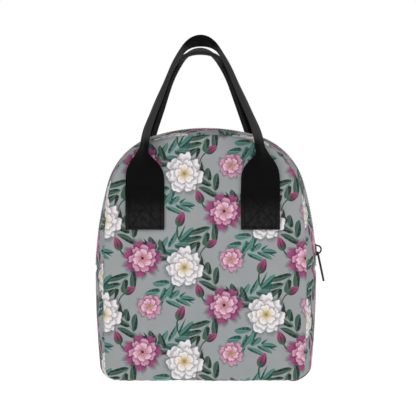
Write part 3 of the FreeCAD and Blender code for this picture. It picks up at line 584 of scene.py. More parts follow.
def select_open_edges():
    """Select only the open edges of the piece in edit mode."""
    bpy.ops.mesh.select_mode(type="EDGE")
    bpy.ops.mesh.select_all(action="DESELECT")
    bpy.ops.mesh.select_non_manifold(
        use_wire=False, use_multi_face=False, use_non_contiguous=False, use_verts=False)


def extend_edge(piece, place):
    """Extrude a piece's open edge, and set the new edge where a rule puts each station."""
    bpy.ops.object.mode_set(mode="EDIT")
    select_open_edges()
    bpy.ops.mesh.extrude_edges_move()
    bpy.ops.object.mode_set(mode="OBJECT")
    stations = piece.data.attributes["station"]
    cut = piece.data.attributes["cut"]
    for vertex in piece.data.vertices:
        if vertex.select:
            point, flat = place(stations.data[vertex.index].value)
            vertex.co = point
            cut.data[vertex.index].vector = (flat[0], flat[1], 0.0)


def face_outwards():
    """Turn all faces of the active piece outwards."""
    bpy.ops.object.mode_set(mode="EDIT")
    bpy.ops.mesh.select_all(action="SELECT")
    bpy.ops.mesh.normals_make_consistent(inside=False)
    bpy.ops.object.mode_set(mode="OBJECT")


def turn_to_back():
    """Turn the active piece half round, from the front of the bag to its back."""
    bpy.ops.object.mode_set(mode="EDIT")
    bpy.ops.mesh.select_all(action="SELECT")
    bpy.ops.transform.rotate(value=math.pi, orient_axis="Z", center_override=(0.0, 0.0, 0.0))
    bpy.ops.object.mode_set(mode="OBJECT")


def apply_modifiers(piece):
    """Apply a piece's modifiers in order."""
    bpy.ops.object.select_all(action="DESELECT")
    piece.select_set(True)
    bpy.context.view_layer.objects.active = piece
    for modifier in list(piece.modifiers):
        bpy.ops.object.modifier_apply(modifier=modifier.name)


def swell(piece, held, most):
    """Let foam press a sheet out for a few frames, pinned where it is sewn, and cap how far it goes."""
    before = np.array([vertex.co for vertex in piece.data.vertices])
    sewn = piece.vertex_groups.new(name="sewn")
    sewn.add(held, 1.0, "REPLACE")
    press = piece.modifiers.new("foam press", "CLOTH")
    press.settings.vertex_group_mass = sewn.name
    press.settings.use_pressure = True
    press.settings.uniform_pressure_force = FOAM_PRESSURE
    press.settings.effector_weights.gravity = 0.0
    for number in range(1, PRESS_FRAMES + 1):
        bpy.context.scene.frame_set(number)
    apply_modifiers(piece)
    bpy.context.scene.frame_set(1)
    after = np.array([vertex.co for vertex in piece.data.vertices])
    moved = after - before
    far = np.linalg.norm(moved, axis=1, keepdims=True)
    kept = most * (1 - np.exp(-far / most)) / np.maximum(far, 1e-9)
    piece.data.vertices.foreach_set("co", (before + moved * kept).ravel())
    piece.vertex_groups.clear()


def lay_cut(piece, shift=(0.0, 0.0)):
    """Make a piece's UV map from its places on the cut cloth, in metres, shifted over the print."""
    cut = piece.data.attributes["cut"]
    layer = piece.data.uv_layers.get("UVMap") or piece.data.uv_layers.new(name="UVMap")
    for loop in piece.data.loops:
        flat = cut.data[loop.vertex_index].vector
        layer.data[loop.index].uv = (flat[0] + shift[0], flat[1] + shift[1])
    piece.data.attributes.remove(piece.data.attributes["cut"])


def panel_shell(name, arcs, face):
    """A closed padded panel: a swollen face, a rounded edge tucked into the seam, and a flat back."""
    piece = plain_grid(name, PANEL_COLUMNS, PANEL_ROWS)
    points, stations = fill_arch(arcs, PANEL_COLUMNS, PANEL_ROWS, EDGE_ROUND)
    kept = piece.data.attributes.new("station", "FLOAT", "POINT")
    kept.data.foreach_set("value", stations.astype(np.float32))
    cut = piece.data.attributes["cut"]
    edge = []
    for vertex in piece.data.vertices:
        # The plain grid reaches from -1 to 1.
        if max(abs(vertex.co.x), abs(vertex.co.y)) > 0.9999:
            edge.append(vertex.index)
        x, z = points[vertex.index]
        cut.data[vertex.index].vector = (x, z, 0.0)
        vertex.co = (x, -face, z)
    swell(piece, edge, PANEL_SWELL)

    def round_place(station, turn):
        x, z = arch_point(arcs, station, EDGE_ROUND * (1 - math.sin(turn)))
        flat = arch_point(arcs, station, EDGE_ROUND * (1 - turn))
        return (x, -face + EDGE_ROUND * (1 - math.cos(turn)), z), flat

    for step in range(1, ROUND_STEPS + 1):
        extend_edge(piece, lambda station: round_place(station, math.pi / 2 * step / ROUND_STEPS))

    def tuck_place(station):
        x, z = arch_point(arcs, station, SEAM_TUCK)
        return (x, -seam_depth - PANEL_BACK * 2, z), arch_point(arcs, station, -EDGE_ROUND)

    extend_edge(piece, tuck_place)
    # The flat back is a second grid inside the tucked edge, bridged to it.
    bpy.ops.object.mode_set(mode="EDIT")
    bpy.ops.mesh.select_all(action="DESELECT")
    bpy.ops.mesh.primitive_grid_add(x_subdivisions=PANEL_COLUMNS, y_subdivisions=PANEL_ROWS, size=2.0)
    bpy.ops.mesh.flip_normals()
    bpy.ops.object.mode_set(mode="OBJECT")
    added = [vertex for vertex in piece.data.vertices if vertex.select]
    for vertex, (x, z) in zip(added, points):
        vertex.co = (x, -seam_depth - PANEL_BACK, z)
        piece.data.attributes["cut"].data[vertex.index].vector = (x, z, 0.0)
    bpy.ops.object.mode_set(mode="EDIT")
    select_open_edges()
    bpy.ops.mesh.bridge_edge_loops()
    bpy.ops.object.mode_set(mode="OBJECT")
    face_outwards()
    piece.data.attributes.remove(piece.data.attributes["station"])
    bpy.ops.object.shade_smooth()
    return piece


panel_arch = arch(panel_high.x * 2, panel_high.z, panel_low.z, **PANEL_CURVES)
front_panel = panel_shell("front_panel_padded", panel_arch, panel_high.y)


# Back panel: the same printed cloth and foam as the front one, cut from another place of the print.
# It is sewn in whole, without a fold. The front panel is copied before either takes its cloth.
BACK_CUT = (0.031, 0.017)
bpy.ops.object.select_all(action="DESELECT")
front_panel.select_set(True)
bpy.context.view_layer.objects.active = front_panel
bpy.ops.object.duplicate()
back_panel = bpy.context.object
back_panel.name = "back_panel_padded"
back_panel.data.name = "back_panel_padded"
turn_to_back()
lay_cut(front_panel)
lay_cut(back_panel, shift=BACK_CUT)
for panel in (front_panel, back_panel):
    panel.data.materials.append(cloth)
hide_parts("lower_front_cover", "lower_front_foam", "front_flap_cover", "front_flap_foam")
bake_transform(front_panel)
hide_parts("back_panel_cover", "back_panel_foam")
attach(back_panel, "tub")


# Base band: the gusset below the two cross seams, one padded strip of printed cloth that runs from
# the left side under the base to the right. It is sewn to both panels and bellies out between them.
band_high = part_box("base_band_cover")[1]
CREST_HEIGHT = 0.253
CREST_CURVES = {"lower": 0.9, "side": 0.34, "shoulder": 0.07, "top": 0.18, "corner": 0.012}
seam_arch = arch(panel_high.x * 2, panel_high.z, 0.0, **PANEL_CURVES)
crest_arch = arch(band_high.x * 2, CREST_HEIGHT, 0.0, **CREST_CURVES)
crest_side = crest_arch[2]
# The cross seams lie above the belly, where the arcs of the sides start.
SIDE_STATION = 3
CROSS_SEAM = SIDE_STATION + math.asin((band_high.z - BELLY) / crest_side[2]) / crest_side[4]
WALL = 0.0031
# Depths and how far the cloth is drawn in there, from a seam inwards.
SEAM_ROWS = [(0.0001, 0.0024), (0.0006, 0.0015), (0.0016, 0.0006), (0.0035, 0.0)]
CROSS_TUCK = [0.0013, 0.0006, 0.0001]
# The seams draw the cloth into puckers, whose spacing wanders along the strip.
PUCKER = 0.0003
PUCKER_PITCH = 0.012
PUCKER_REACH = 0.008
PUCKER_WANDER = 2
WANDER_TURN = 31
BAND_CUT = (0.040, 0.012)
BAND_STATIONS = 84
SPREAD_ROWS = 20


def gusset_point(station, depth, sunk=0.0):
    """A point of the gusset between the two panels, sunk below its outer face."""
    seam_x, seam_z = arch_point(seam_arch, station, sunk)
    crest_x, crest_z = arch_point(crest_arch, station, sunk)
    full = 1 - (depth / seam_depth) ** 2
    return Vector((seam_x + (crest_x - seam_x) * full, depth, seam_z + (crest_z - seam_z) * full))


def crest_lengths(stations):
    """How far along the crest each station lies from the first one."""
    points = [gusset_point(station, 0.0) for station in stations]
    return running_length([(after - before).length for before, after in zip(points, points[1:])])


def grid_points(piece, columns, rows):
    """Each point of a plain grid, with the numbers of its column and its row."""
    for vertex in piece.data.vertices:
        column = round((vertex.co.x + 1) / 2 * columns)
        row = round((vertex.co.y + 1) / 2 * rows)
        yield vertex, column, row


def gusset_strip(name, stations, rows, sunk=0.0, tucks=(), pucker=0.0):
    """A sheet of the gusset along its stations and across its rows of (depth, drawn in), back row
    first. Its ends are tucked in and its seams puckered where these are given."""
    last = len(stations) - 1
    piece = plain_grid(name, last, len(rows) - 1)
    cut = piece.data.attributes["cut"]
    along = crest_lengths(stations)
    for vertex, column, row in grid_points(piece, last, len(rows) - 1):
        depth, drawn = rows[row]
        end = min(column, last - column)
        drawn += tucks[end] if end < len(tucks) else 0.0
        near = math.exp(-(seam_depth - abs(depth)) / PUCKER_REACH)
        wander = PUCKER_WANDER * math.sin(along[column] * WANDER_TURN)
        wave = math.sin(math.tau * along[column] / PUCKER_PITCH + wander)
        drawn += pucker * near * wave
        cut.data[vertex.index].vector = (depth, along[column], 0.0)
        vertex.co = gusset_point(stations[column], depth, sunk + drawn)
    return piece


def to_front(rows):
    """Rows as far in front of the bag's middle as the given ones lie behind it."""
    return [(-depth, drawn) for depth, drawn in reversed(rows)]


def seam_to(depth, edge_rows):
    """Rows from the back seam towards a depth, closely spaced at the seam, then an edge's own rows."""
    first = [(seam_depth - inside, drawn) for inside, drawn in SEAM_ROWS]
    spread = np.linspace(first[-1][0], depth, SPREAD_ROWS + 1)[1:]
    return first + [(place, 0.0) for place in spread] + edge_rows


def thicken(piece, wall, thin_share=1.0):
    """Give a sheet its wall, inwards; where a group named thin stands, only a share of it."""
    body = piece.modifiers.new("wall", "SOLIDIFY")
    body.thickness = wall
    body.offset = -1.0
    if "thin" in piece.vertex_groups:
        body.vertex_group = "thin"
        body.invert_vertex_group = True
        body.thickness_vertex_group = thin_share
    apply_modifiers(piece)
    bpy.ops.object.shade_smooth_by_angle(angle=math.radians(40))


half_rows = seam_to(0.0, [])
band_rows = half_rows + to_front(half_rows[:-1])
band_stations = both_ways(evenly(crest_arch, 0.0, CROSS_SEAM, BAND_STATIONS))
base_band = gusset_strip("base_band_padded", band_stations, band_rows, 0.0, CROSS_TUCK, PUCKER)
thicken(base_band, WALL)
lay_cut(base_band, shift=BAND_CUT)
base_band.data.materials.append(cloth)
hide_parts("base_band_cover", "base_band_foam")
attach(base_band, "tub")


# Zip strips: the gusset above the cross seams, a front and a rear strip of printed cloth over foam.
# The cloth is folded under along the zip, and thins there to lie on the zip's tape.
ZIP_WINDOW = 0.0065
TAPE_REACH = 0.0158
FULL_FOAM = 0.0185
THIN_WALL = 0.0009
STRIP_CUT = (0.040, 0.046)
ZIP_STATIONS = 161
# Depths beyond the folded edge and how far the cloth turns in there.
FOLD_REACH = 0.002
FOLD_ROWS = [(0.0011, 0.0), (0.0005, 0.0001), (0.0001, 0.0003), (0.0, 0.0007)]
fold_edge = [(ZIP_WINDOW + beyond, drawn) for beyond, drawn in FOLD_ROWS]
zip_rows = seam_to(ZIP_WINDOW + FOLD_REACH, fold_edge)
zip_stations = evenly(crest_arch, CROSS_SEAM, LAST_STATION - CROSS_SEAM, ZIP_STATIONS)


def zip_strip(name, rows):
    piece = gusset_strip(name, zip_stations, rows, 0.0, CROSS_TUCK, PUCKER)
    thin = piece.vertex_groups.new(name="thin")
    for vertex in piece.data.vertices:
        off = abs(vertex.co.y)
        share = (FULL_FOAM - off) / (FULL_FOAM - TAPE_REACH)
        thin.add([vertex.index], min(1.0, max(0.0, share)), "REPLACE")
    thicken(piece, WALL, THIN_WALL / WALL)
    piece.vertex_groups.clear()
    lay_cut(piece, shift=STRIP_CUT)
    piece.data.materials.append(cloth)
    return piece


rear_strip = zip_strip("rear_zip_strip", zip_rows)
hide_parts("rear_zip_facing_cover", "rear_zip_facing_foam")
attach(rear_strip, "tub")
front_strip = zip_strip("front_zip_strip", to_front(zip_rows))
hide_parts("front_zip_facing_cover", "front_zip_facing_foam")
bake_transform(front_strip)


# Lining: thin foil-faced sheet inside every wall, welded in at the seams. It keeps the cold in and
# wipes clean, and it creases slightly where it is folded.
LINING_DEEP = 0.0049
LINING_WALL = 0.0004
LINING_COLUMNS = 46
LINING_ROWS = 58
LINING_ACROSS = 18
# Between the lining's edge and the panel's seam.
LINING_SHORT = 0.0005
FOIL = ink(212, 214, 217)
FOIL_LIGHT = ink(229, 230, 232)


def object_place(tree):
    """Where a point lies on the bag, in metres."""
    return place_node(tree, "ShaderNodeTexCoord", pick=3)


def foil_lining():
    material, tree, shader = new_material("foil lining", 0.34)
    place = object_place(tree)
    creases = place_node(
        tree, "ShaderNodeTexVoronoi", place, None, 70.0, feature="DISTANCE_TO_EDGE")
    soft = noise(tree, place, 45.0, 4.0)
    height = creases.rise(0.0, 0.12) * 0.5 + soft
    add_relief(tree, shader, height, 0.35, 0.0008)
    colour = mixed(tree, soft.rise(0.35, 0.7), FOIL, FOIL_LIGHT)
    colour.into(shader.inputs["Base Color"])
    (soft * 0.25 + 0.22).into(shader.inputs["Roughness"])
    shader.inputs["Metallic"].default_value = 0.45
    return material


foil = foil_lining()


def finish_lining(piece, flat):
    """Give a lining sheet its wall and foil. Its flat size is not used."""
    thicken(piece, LINING_WALL)
    lay_cut(piece)
    piece.data.materials.append(foil)
    return piece


def panel_lining(name):
    """A lining sheet that fills the panel's outline just inside its seam."""
    piece = plain_grid(name, LINING_COLUMNS, LINING_ROWS)
    points, _ = fill_arch(panel_arch, LINING_COLUMNS, LINING_ROWS, LINING_DEEP)
    cut = piece.data.attributes["cut"]
    for vertex in piece.data.vertices:
        x, z = points[vertex.index]
        cut.data[vertex.index].vector = (x, z, 0.0)
        vertex.co = (x, -seam_depth, z)
    return piece


panel_flat = (panel_high.x * 2, panel_high.z - panel_low.z)
front_lining = panel_lining("front_lining_sheet")
back_lining = panel_lining("back_lining_sheet")
for vertex in back_lining.data.vertices:
    vertex.co.x *= -1
    vertex.co.y *= -1
for piece in (front_lining, back_lining):
    piece.data.flip_normals()
    for vertex in piece.data.vertices:
        vertex.co.y += math.copysign(LINING_WALL, -vertex.co.y)
    finish_lining(piece, panel_flat)
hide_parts("lower_front_lining", "front_flap_lining")
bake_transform(front_lining)
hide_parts("back_panel_lining")
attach(back_lining, "tub")


def gusset_lining(name, stations, near, far):
    """A lining sheet along a stretch of the gusset, from one depth to another."""
    rows = [(depth, 0.0) for depth in np.linspace(near, far, LINING_ACROSS)]
    piece = gusset_strip(name, stations, rows, LINING_DEEP)
    return finish_lining(piece, (near - far, crest_lengths(stations)[-1]))


lining_edge = seam_depth - LINING_SHORT
facing_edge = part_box("rear_zip_facing_lining")[0].y
base_lining = gusset_lining("base_lining_sheet", band_stations, lining_edge, -lining_edge)
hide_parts("base_band_lining")
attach(base_lining, "tub")
rear_facing = gusset_lining("rear_facing_sheet", zip_stations, lining_edge, facing_edge)
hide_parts("rear_zip_facing_lining")
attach(rear_facing, "tub")
front_facing = gusset_lining("front_facing_sheet", zip_stations, -facing_edge, -lining_edge)
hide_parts("front_zip_facing_lining")
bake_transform(front_facing)


# Binding: narrow woven tape folded over the raw seam inside each panel's edge and sewn through.
# It stands a little way into the bag, all round the panel.
BINDING_DEEP = 0.0056
BINDING_WALL = 0.0016
BINDING_WIDE = 0.008
BINDING_TURN = 7
BINDING_STATIONS = 221
# How far apart the rows of its cut lie.
BINDING_ROW = 0.001


def ribbed_group():
    """Cross ribs of a woven tape, with the shallow grooves of its long threads, and a tone with painted
    shade in the grooves and random unevenness.
    """
    inputs = [("Cloth", "Vector"), ("Rib", "Float"), ("Thread", "Float")]
    tree, given, made = shader_group("woven ribs", inputs, [("Height", "Float"), ("Tone", "Float")])
    x, y = split(tree, given["Cloth"])
    uneven = noise(tree, given["Cloth"], 700.0, 2.0)
    shift = (x / given["Thread"]).step("FLOOR").step("MODULO", 2.0) * 0.5
    ribs = abs(((y / given["Rib"] + shift) * math.pi).step("SINE"))
    grooves = abs((x / given["Thread"] * math.pi).step("SINE"))
    height = ribs * 0.6 + grooves * 0.4
    (height + uneven * 0.4).into(made["Height"])
    # Painted shade: the tone is darker in the grooves and lighter on the ribs.
    (height * 0.7 + uneven * 0.3).into(made["Tone"])
    return tree


ribbed = ribbed_group()


def woven_tape(name, dark, light, rib, thread, relief, shine=0.25, lighten_where=None, lightened=None):
    """A ribbed tape or webbing whose threads vary between two tones, darker in the grooves as painted
    shade, and lightened where a given rule says, as painted sheen on a handle.
    """
    material, tree, shader = new_material(name, 0.8)
    place = cloth_place(tree)
    threads = use_group(tree, ribbed, Cloth=place, Rib=rib, Thread=thread)
    colour = mixed(tree, threads["Tone"], dark, light)
    # Painted sheen: the colour is lightened where the given rule says.
    if lighten_where:
        colour = mixed(tree, lighten_where(tree, place) * (threads["Tone"] * 0.4 + 0.6), colour, lightened)
    colour.into(shader.inputs["Base Color"])
    (threads["Tone"] * -0.15 + 0.88).into(shader.inputs["Roughness"])
    add_relief(tree, shader, threads["Height"], relief, 0.0004)
    shader.inputs["Specular IOR Level"].default_value = shine
    return material


binding_cloth = woven_tape(
    "binding tape", ink(38, 40, 42), ink(66, 68, 70), rib=0.0009, thread=0.0009, relief=0.4)


def binding_ring(name):
    """A folded tape all round the panel's outline, rounded where it turns over the seam."""
    stations = evenly(panel_arch, 0.0, LAST_STATION, BINDING_STATIONS)
    stations[-1] = LAST_STATION
    half_wall = BINDING_WALL / 2
    flat_wide = BINDING_WIDE - half_wall
    profile = [(0.0, 0.0), (flat_wide, 0.0)]
    for step in range(1, BINDING_TURN):
        turn = math.pi * step / BINDING_TURN
        profile.append((flat_wide + half_wall * math.sin(turn), half_wall * (1 - math.cos(turn))))
    profile += [(flat_wide, BINDING_WALL), (0.0, BINDING_WALL)]
    columns, rows = len(stations) - 1, len(profile) - 1
    piece = plain_grid(name, columns, rows)
    cut = piece.data.attributes["cut"]
    points = np.array([arch_point(panel_arch, station, BINDING_DEEP) for station in stations])
    along = running_length(np.linalg.norm(np.diff(points, axis=0), axis=1))
    for vertex, column, row in grid_points(piece, columns, rows):
        out, inside = profile[row]
        x, z = arch_point(panel_arch, stations[column], BINDING_DEEP + inside)
        cut.data[vertex.index].vector = (row * BINDING_ROW, along[column], 0.0)
        vertex.co = (x, -seam_depth + LINING_WALL * 2 + out, z)
    lay_cut(piece)
    bpy.ops.object.mode_set(mode="EDIT")
    bpy.ops.mesh.select_all(action="SELECT")
    bpy.ops.mesh.remove_doubles(threshold=0.00001)
    select_open_edges()
    bpy.ops.mesh.bridge_edge_loops()
    bpy.ops.object.mode_set(mode="OBJECT")
    face_outwards()
    bpy.ops.object.shade_smooth_by_angle(angle=math.radians(40))
    piece.data.materials.append(binding_cloth)
    return piece


front_binding = binding_ring("front_binding_tape")
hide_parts("lower_front_seam_binding", "flap_seam_binding")
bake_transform(front_binding)
back_binding = binding_ring("back_binding_tape")
turn_to_back()
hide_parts("back_seam_binding")
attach(back_binding, "tub")


# Zip: two black woven tapes sewn under the strips' folded edges, each with a row of nylon coil
# teeth along its inner edge. The front and rear teeth stagger, so that they mesh.
TAPE_DEEP = 0.0011
TAPE_WALL = 0.0007
TAPE_EDGE = 0.0001
TAPE_WIDE = 0.0154
TAPE_ROWS = 7
TOOTH_PITCH = 0.0015
TOOTH_HALF = (0.00037, 0.0014, 0.00075)
TOOTH_OUT = -0.0002
TOOTH_MESH = 0.0004
BEAD_SQUARE = 0.8
# The teeth start inside the slider on the right, and end at the coil's tail on the left.
UNDER_SLIDER = 0.002
COIL_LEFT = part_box("rear_zipper_coil")[0].z
COIL_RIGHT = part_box("zipper_slider")[1].z - UNDER_SLIDER
# Close stations along the zip, and a short step from one of them.
FINE_STATIONS = 1201
fine_stations = evenly(crest_arch, CROSS_SEAM, LAST_STATION - CROSS_SEAM, FINE_STATIONS)
fine_lengths = crest_lengths(fine_stations)
SHORT_STEP = 0.001

tape_cloth = woven_tape(
    "zip tape", ink(20, 20, 21), ink(34, 34, 35), rib=0.0006, thread=0.0008, relief=0.3)


def zip_tape(name, rows):
    piece = gusset_strip(name, zip_stations, rows, TAPE_DEEP)
    thicken(piece, TAPE_WALL)
    lay_cut(piece)
    piece.data.materials.append(tape_cloth)
    return piece


tape_rows = [(depth, 0.0) for depth in np.linspace(TAPE_EDGE + TAPE_WIDE, TAPE_EDGE, TAPE_ROWS)]
rear_tape = zip_tape("rear_tape_woven", tape_rows)
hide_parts("rear_zipper_tape")
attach(rear_tape, "tub")
front_tape = zip_tape("front_tape_woven", to_front(tape_rows))
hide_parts("front_zipper_tape")
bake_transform(front_tape)


def coil_nylon():
    material, tree, shader = new_material("coil nylon", 0.4)
    place = object_place(tree)
    worn = noise(tree, place, 380.0, 3.0)
    colour = mixed(tree, worn.rise(0.4, 0.75), ink(16, 16, 17), ink(42, 42, 43))
    colour.into(shader.inputs["Base Color"])
    (worn * 0.3 + 0.28).into(shader.inputs["Roughness"])
    add_relief(tree, shader, worn, 0.15, 0.0002)
    return material


nylon = coil_nylon()


def copies_of(model, name, places):
    """Copies of one small model at each place, each with its own mesh, joined in one piece."""
    made = []
    for place in places:
        one = model.copy()
        one.data = model.data.copy()
        one.data.transform(place)
        bpy.context.collection.objects.link(one)
        made.append(one)
    bpy.data.objects.remove(model)
    bpy.ops.object.select_all(action="DESELECT")
    for one in made:
        one.select_set(True)
    bpy.context.view_layer.objects.active = made[0]
    bpy.ops.object.join()
    piece = bpy.context.object
    piece.name = name
    piece.data.name = name
    return piece


def facing_place(centre, along, out):
    """A frame with y along a line and z standing out from what it lies on."""
    across = along.cross(out)
    turn = Matrix((across, along, out)).transposed()
    return Matrix.Translation(centre) @ turn.to_4x4()


def round_bead(half):
    """A small rounded bead with its axis along y."""
    bpy.ops.object.select_all(action="DESELECT")
    bpy.ops.mesh.primitive_uv_sphere_add(segments=8, ring_count=6, radius=1.0)
    bead = bpy.context.object
    # Squared off a little, so that a row of beads reads as turns of one filament.
    for vertex in bead.data.vertices:
        squared = [math.copysign(abs(value) ** BEAD_SQUARE, value) for value in vertex.co]
        vertex.co = [value * size for value, size in zip(squared, half)]
    bpy.ops.object.shade_smooth()
    return bead


def coil_teeth(name, way, start):
    """Teeth along one edge of the zip, from the slider over the top to the tail on the left."""
    places = []
    for length in np.arange(start, fine_lengths[-1], TOOTH_PITCH):
        station = float(np.interp(length, fine_lengths, fine_stations))
        centre = gusset_point(station, 0.0)
        low = COIL_RIGHT if centre.x > 0 else COIL_LEFT
        if centre.z > low:
            ahead = (gusset_point(station + SHORT_STEP, 0.0) - centre).normalized()
            across = Vector((0.0, way, 0.0))
            out = Vector((ahead.z, 0.0, -ahead.x))
            middle = centre + across * (TOOTH_HALF[1] - TOOTH_MESH)
            middle = middle - out * (TOOTH_HALF[2] - TOOTH_OUT)
            places.append(facing_place(middle, across, out))
    piece = copies_of(round_bead(TOOTH_HALF), name, places)
    piece.data.materials.append(nylon)
    return piece


rear_teeth = coil_teeth("rear_coil_teeth", 1, 0.0)
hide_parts("rear_zipper_coil")
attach(rear_teeth, "tub")
front_teeth = coil_teeth("front_coil_teeth", -1, TOOTH_PITCH / 2)
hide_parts("front_zipper_coil")
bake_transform(front_teeth)


# Topstitching: grey thread, one row along each folded edge of the zip window. It holds the strips to
# the zip's tapes.
STITCH_LONG = 0.0030
STITCH_HALF = (0.00040, 0.00125, 0.00035)
STITCH_INSET = 0.0021


def thread_material(name, colour, painted_gloss, shine):
    """Twisted thread, whose turns vary between its own colour and a painted highlight."""
    material, tree, shader = new_material(name, 0.6)
    shader.inputs["Specular IOR Level"].default_value = shine
    place = object_place(tree)
    twist = place_node(tree, "ShaderNodeTexWave", place, 900.0, 2.0, 2.0, pick=1)
    # Painted highlight along the turns of the twist.
    mixed(tree, twist * 0.5, colour, painted_gloss).into(shader.inputs["Base Color"])
    (twist * 0.3 + 0.45).into(shader.inputs["Roughness"])
    add_relief(tree, shader, twist, 0.3, 0.0002)
    return material


grey_thread = thread_material("grey thread", ink(120, 124, 125), ink(150, 153, 154), 0.5)


def zip_stitching(name, way):
    """One row of stitches beside the zip window; way is -1 in front and 1 behind."""
    depth = way * (ZIP_WINDOW + STITCH_INSET)
    places = []
    for length in np.arange(STITCH_LONG, fine_lengths[-1] - STITCH_LONG, STITCH_LONG):
        station = float(np.interp(length, fine_lengths, fine_stations))
        centre = gusset_point(station, depth)
        ahead = (gusset_point(station + SHORT_STEP, depth) - centre).normalized()
        aside = (gusset_point(station, depth + SHORT_STEP) - centre).normalized()
        out = aside.cross(ahead).normalized()
        places.append(facing_place(centre, ahead, out))
    piece = copies_of(round_bead(STITCH_HALF), name, places)
    piece.data.materials.append(grey_thread)
    return piece


rear_topstitch = zip_stitching("rear_zip_stitching", 1)
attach(rear_topstitch, "tub")
front_topstitch = zip_stitching("front_zip_stitching", -1)
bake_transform(front_topstitch)


# Handles: one length of black polyester webbing each, its ends sewn flat on a panel. Above the ends
# the webbing folds in half, edges to the back, and rises over the bag as a double strap.
WEBBING_HALF = 0.019
WEBBING_THICK = 0.0022
handle_low, handle_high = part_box("front_handle_ends")
HANDLE_SIDE = handle_high.x - WEBBING_HALF
HINGE = 0.198
BEND_RADIUS = 0.090
BROW_RADIUS = 0.130
BROW_SLOPE = math.radians(33)
LEAN = math.radians(18)
LEAN_START = 0.230
LEAN_SPAN = 0.036
STRAP_TILT = math.radians(18)
FOLD_START = 0.193
FOLD_END = 0.233
SPINE_TIGHT = 0.0013
SPINE_LOOSE = 0.010
STRAP_CLEAR = 0.0004
# The ends are sewn on a little left of the middle.
ENDS_ASIDE = -0.002
# How each handle happens to stand: where its legs start to lean in, how far they lean and the bend at
# its top. It hangs a little to the left, and its left and right legs turn edge on towards the top.
FRONT_STAND = {"bend_start": 0.2208, "leg_slope": math.radians(21), "peak_radius": 0.0205}
FRONT_UNTWIST = {-1: math.radians(6.5), 1: math.radians(5)}
FRONT_HANG = {"aside": -0.0023, "aside_by": 0.12, "untwist": FRONT_UNTWIST}
BACK_STAND = {"bend_start": 0.2265, "leg_slope": math.radians(19), "peak_radius": 0.0255}
BACK_UNTWIST = {-1: math.radians(4.5), 1: 0.0}
BACK_HANG = {"aside": -0.0051, "aside_by": 0.05, "untwist": BACK_UNTWIST}
UNTWIST_START = 0.075
UNTWIST_SPAN = 0.030
LEAN_STEPS = 60
# How many sections each stretch of half a handle has, from its sewn end to its top.
SEWN_SECTIONS = 44
STRAIGHT_SECTIONS = 10
BEND_SECTIONS = 20
LEG_SECTIONS = 16
BROW_SECTIONS = 10
PEAK_SECTIONS = 16
# Across half the webbing, most closely spaced at the fold in its middle and at its edge.
FOLD_STEPS = [0.0, 0.0007, 0.0014, 0.0022, 0.0032]
EDGE_STEPS = [0.0182, 0.019]
ACROSS = FOLD_STEPS + list(np.arange(0.0044, 0.0176, 0.0012)) + EDGE_STEPS
across_list = [-value for value in ACROSS[:0:-1]] + ACROSS
# The sewn box on each end, and how the webbing puffs up between its rows of stitches.
BOX_HALF = 0.0155
BOX_LOW = 0.151
BOX_HIGH = 0.190
PUFF = 0.0008
PUFF_REACH = 0.0022
PUFF_EDGE = 0.002
PUFF_TOP = 0.005
# A point well outside the bag, from which a ray finds the face of a panel or of the webbing.
RAY_START = 0.2
SEAT_GAP = 0.0001
SELVEDGE_ROUND = 0.0005
# Where the webbing is painted a lighter grey: a painted sheen on the faces where light falls, how far it
# fades out, and a patchy lighter tone at its sewn ends.
LIGHTENED_GREY = ink(57, 57, 57)
SHEEN_FADE = 0.012
END_LIGHTENED = 0.5
END_LONG = 0.034
END_LOW = 0.010


def eased(value):
    """Rises smoothly from 0 to 1."""
    value = max(0.0, min(1.0, value))
    return value * value * (3 - 2 * value)


def handle_route(bend_start, leg_slope, peak_radius):
    """Right half of a handle in its own plane, from its sewn end up. Each section has its place
    across, its place along from the hinge, and its slope."""
    straight = bend_start - HINGE
    bend_x = HANDLE_SIDE - BEND_RADIUS * (1 - math.cos(leg_slope))
    bend_z = straight + BEND_RADIUS * math.sin(leg_slope)
    peak_x = peak_radius * math.cos(BROW_SLOPE)
    brow_x = peak_x + BROW_RADIUS * (math.cos(leg_slope) - math.cos(BROW_SLOPE))
    leg = (bend_x - brow_x) / math.sin(leg_slope)
    brow_z = bend_z + leg * math.cos(leg_slope)
    peak_z = brow_z + BROW_RADIUS * (math.sin(BROW_SLOPE) - math.sin(leg_slope))
    sewn = np.linspace(handle_low.z - HINGE, 0.0, SEWN_SECTIONS)[:-1]
    above = np.linspace(0.0, straight, STRAIGHT_SECTIONS)[:-1]
    route = [(HANDLE_SIDE, along, 0.0) for along in np.concatenate([sewn, above])]
    for turn in np.linspace(0.0, leg_slope, BEND_SECTIONS):
        x = HANDLE_SIDE - BEND_RADIUS * (1 - math.cos(turn))
        route.append((x, straight + BEND_RADIUS * math.sin(turn), turn))
    for share in np.linspace(0.0, 1.0, LEG_SECTIONS)[1:-1]:
        step = leg * share
        x = bend_x - step * math.sin(leg_slope)
        route.append((x, bend_z + step * math.cos(leg_slope), leg_slope))
    for turn in np.linspace(leg_slope, BROW_SLOPE, BROW_SECTIONS)[:-1]:
        x = peak_x + BROW_RADIUS * (math.cos(turn) - math.cos(BROW_SLOPE))
        route.append((x, brow_z + BROW_RADIUS * (math.sin(turn) - math.sin(leg_slope)), turn))
    for turn in np.linspace(BROW_SLOPE, math.pi / 2, PEAK_SECTIONS):
        rise = peak_radius * (math.sin(turn) - math.sin(BROW_SLOPE))
        route.append((peak_radius * math.cos(turn), peak_z + rise, turn))
    return route


def lean_at(along):
    """How far the handle leans back over the bag at a place along it."""
    return LEAN * eased((HINGE + along - LEAN_START) / LEAN_SPAN)


def leant(along):
    """Depth and height gained along the leaning plane, summed in small steps."""
    if along <= 0:
        return 0.0, along
    span = along / LEAN_STEPS
    angles = [lean_at(span * (step + 0.5)) for step in range(LEAN_STEPS)]
    return sum(map(math.sin, angles)) * span, sum(map(math.cos, angles)) * span


